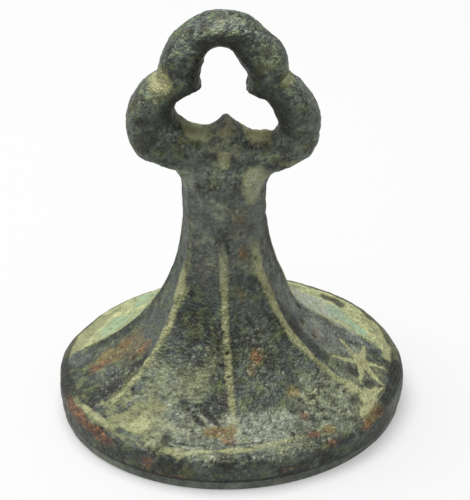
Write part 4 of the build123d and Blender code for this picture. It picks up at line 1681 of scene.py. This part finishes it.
@dataclass
class Studio:
    """White table, soft light from above and the camera, in mm and degrees."""

    distance: float = 200.0
    pitch: float = 32.3
    roll: float = -1.8
    pixels_per_mm: float = 17.03
    aim: tuple[float, float, float] = (0.5, 4.67, 7.29)
    table_half: float = 900.0
    table_colour: str = "#b0b0b0"
    table_glow: float = 0.43
    world_strength: float = 0.4
    lamp_place: tuple[float, float, float] = (-40.0, 20.0, 260.0)
    lamp_aim: tuple[float, float, float] = (0.0, 0.0, 10.0)
    lamp_size: float = 220.0
    lamp_power: float = 0.78

    def camera(self) -> None:
        """Camera at the photograph's angle, well away from the object, with a long lens."""
        data = bpy.data.cameras.new("camera")
        data.sensor_width = 36.0
        data.lens = self.pixels_per_mm * self.distance * data.sensor_width / IMAGE_HEIGHT
        data.clip_start = 0.01
        camera = bpy.data.objects.new("camera", data)
        pitch = math.radians(self.pitch)
        camera.location = Vector((0.0, -math.cos(pitch), math.sin(pitch))) * self.distance * MM
        way = Vector(self.aim) * MM - camera.location
        turn = way.to_track_quat("-Z", "Y") @ Quaternion((0.0, 0.0, 1.0), math.radians(self.roll))
        camera.rotation_euler = turn.to_euler()
        bpy.context.scene.collection.objects.link(camera)
        bpy.context.scene.camera = camera

    def table(self) -> None:
        """White table with the object's shadow, lifted to near white for the eye and for reflections."""
        half = self.table_half * MM
        mesh = bpy.data.meshes.new("table")
        corners = [(-half, -half, 0.0), (half, -half, 0.0), (half, half, 0.0), (-half, half, 0.0)]
        mesh.from_pydata(corners, [], [(0, 1, 2, 3)])
        table = bpy.data.objects.new("table", mesh)
        bpy.context.scene.collection.objects.link(table)
        material = bpy.data.materials.new("white_paper")
        tree = empty_tree(material)
        path = add_node(tree, "ShaderNodeLightPath", {})
        seen: Any = 0.0
        for ray in ("Is Camera Ray", "Is Glossy Ray", "Is Transmission Ray"):
            either = add_node(tree, "ShaderNodeMath", {0: seen, 1: path.outputs[ray]}, operation="MAXIMUM")
            seen = either.outputs["Value"]
        glow = add_node(tree, "ShaderNodeMath", {0: seen, 1: self.table_glow}, operation="MULTIPLY")
        paper = add_node(tree, "ShaderNodeBsdfDiffuse", {"Color": linear_colour(self.table_colour)})
        lift = add_node(tree, "ShaderNodeEmission", {"Strength": glow.outputs["Value"]})
        both = add_node(tree, "ShaderNodeAddShader", {0: paper.outputs["BSDF"], 1: lift.outputs["Emission"]})
        add_node(tree, "ShaderNodeOutputMaterial", {"Surface": both.outputs["Shader"]})
        mesh.materials.append(material)

    def light(self) -> None:
        """Even white surroundings and one large soft lamp above, a little to the left and behind."""
        world = bpy.data.worlds.new("studio")
        bpy.context.scene.world = world
        tree = empty_tree(world)
        sky = add_node(tree, "ShaderNodeBackground", {"Strength": self.world_strength})
        add_node(tree, "ShaderNodeOutputWorld", {"Surface": sky.outputs["Background"]})
        data = bpy.data.lights.new("soft_lamp", "AREA")
        data.shape = "DISK"
        data.size = self.lamp_size * MM
        data.energy = self.lamp_power
        lamp = bpy.data.objects.new("soft_lamp", data)
        lamp.location = Vector(self.lamp_place) * MM
        way = Vector(self.lamp_aim) * MM - lamp.location
        lamp.rotation_euler = way.to_track_quat("-Z", "Y").to_euler()
        bpy.context.scene.collection.objects.link(lamp)

    def build(self) -> None:
        """Camera, table and light, with plain colour handling."""
        bpy.context.scene.view_settings.view_transform = "Standard"
        self.camera()
        self.table()
        self.light()


STEM_FINISH = PatinatedBronze(name="patinated_cast_bronze_stem")
LOOP_FINISH = PatinatedBronze(
    name="patinated_cast_bronze_loop",
    skin="#667168",
    shade="#40483f",
    olive="#757b46",
    grain_light="#818b69",
    cloud_size=1.2,
    olive_share=0.6,
    glint_share=0.35,
)
DIE_FINISH = PatinatedBronze(name="patinated_engraved_bronze")
# How far the die's edge stands out past its solid, in mm
DIE_PROUD = 0.05


def main() -> None:
    """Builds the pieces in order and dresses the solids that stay."""
    logging.basicConfig(level=logging.INFO, format="%(message)s")
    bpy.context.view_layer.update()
    Studio().build()
    stem_low, stem_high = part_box("stem")
    stem = FacetedStem(seat=stem_low.z / MM, top=stem_high.z / MM, rim_radius=stem_high.x / MM)
    stem.build(STEM_FINISH)
    TrefoilLoop(stem=stem).build(LOOP_FINISH)
    _, die_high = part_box("die_plate")
    film_low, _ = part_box("die_solder")
    die = EngravedDie(radius=die_high.x / MM + DIE_PROUD, thickness=film_low.z / MM, stud_top=die_high.z / MM)
    die.build(DIE_FINISH)
    solder = OxidisedSolder().material()
    for name in ("die_solder", "loop_solder"):
        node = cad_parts[name]
        node.data.materials.clear()
        node.data.materials.append(solder)
        LOG.info("%s keeps its solid", name)


if __name__ == "__main__":
    main()
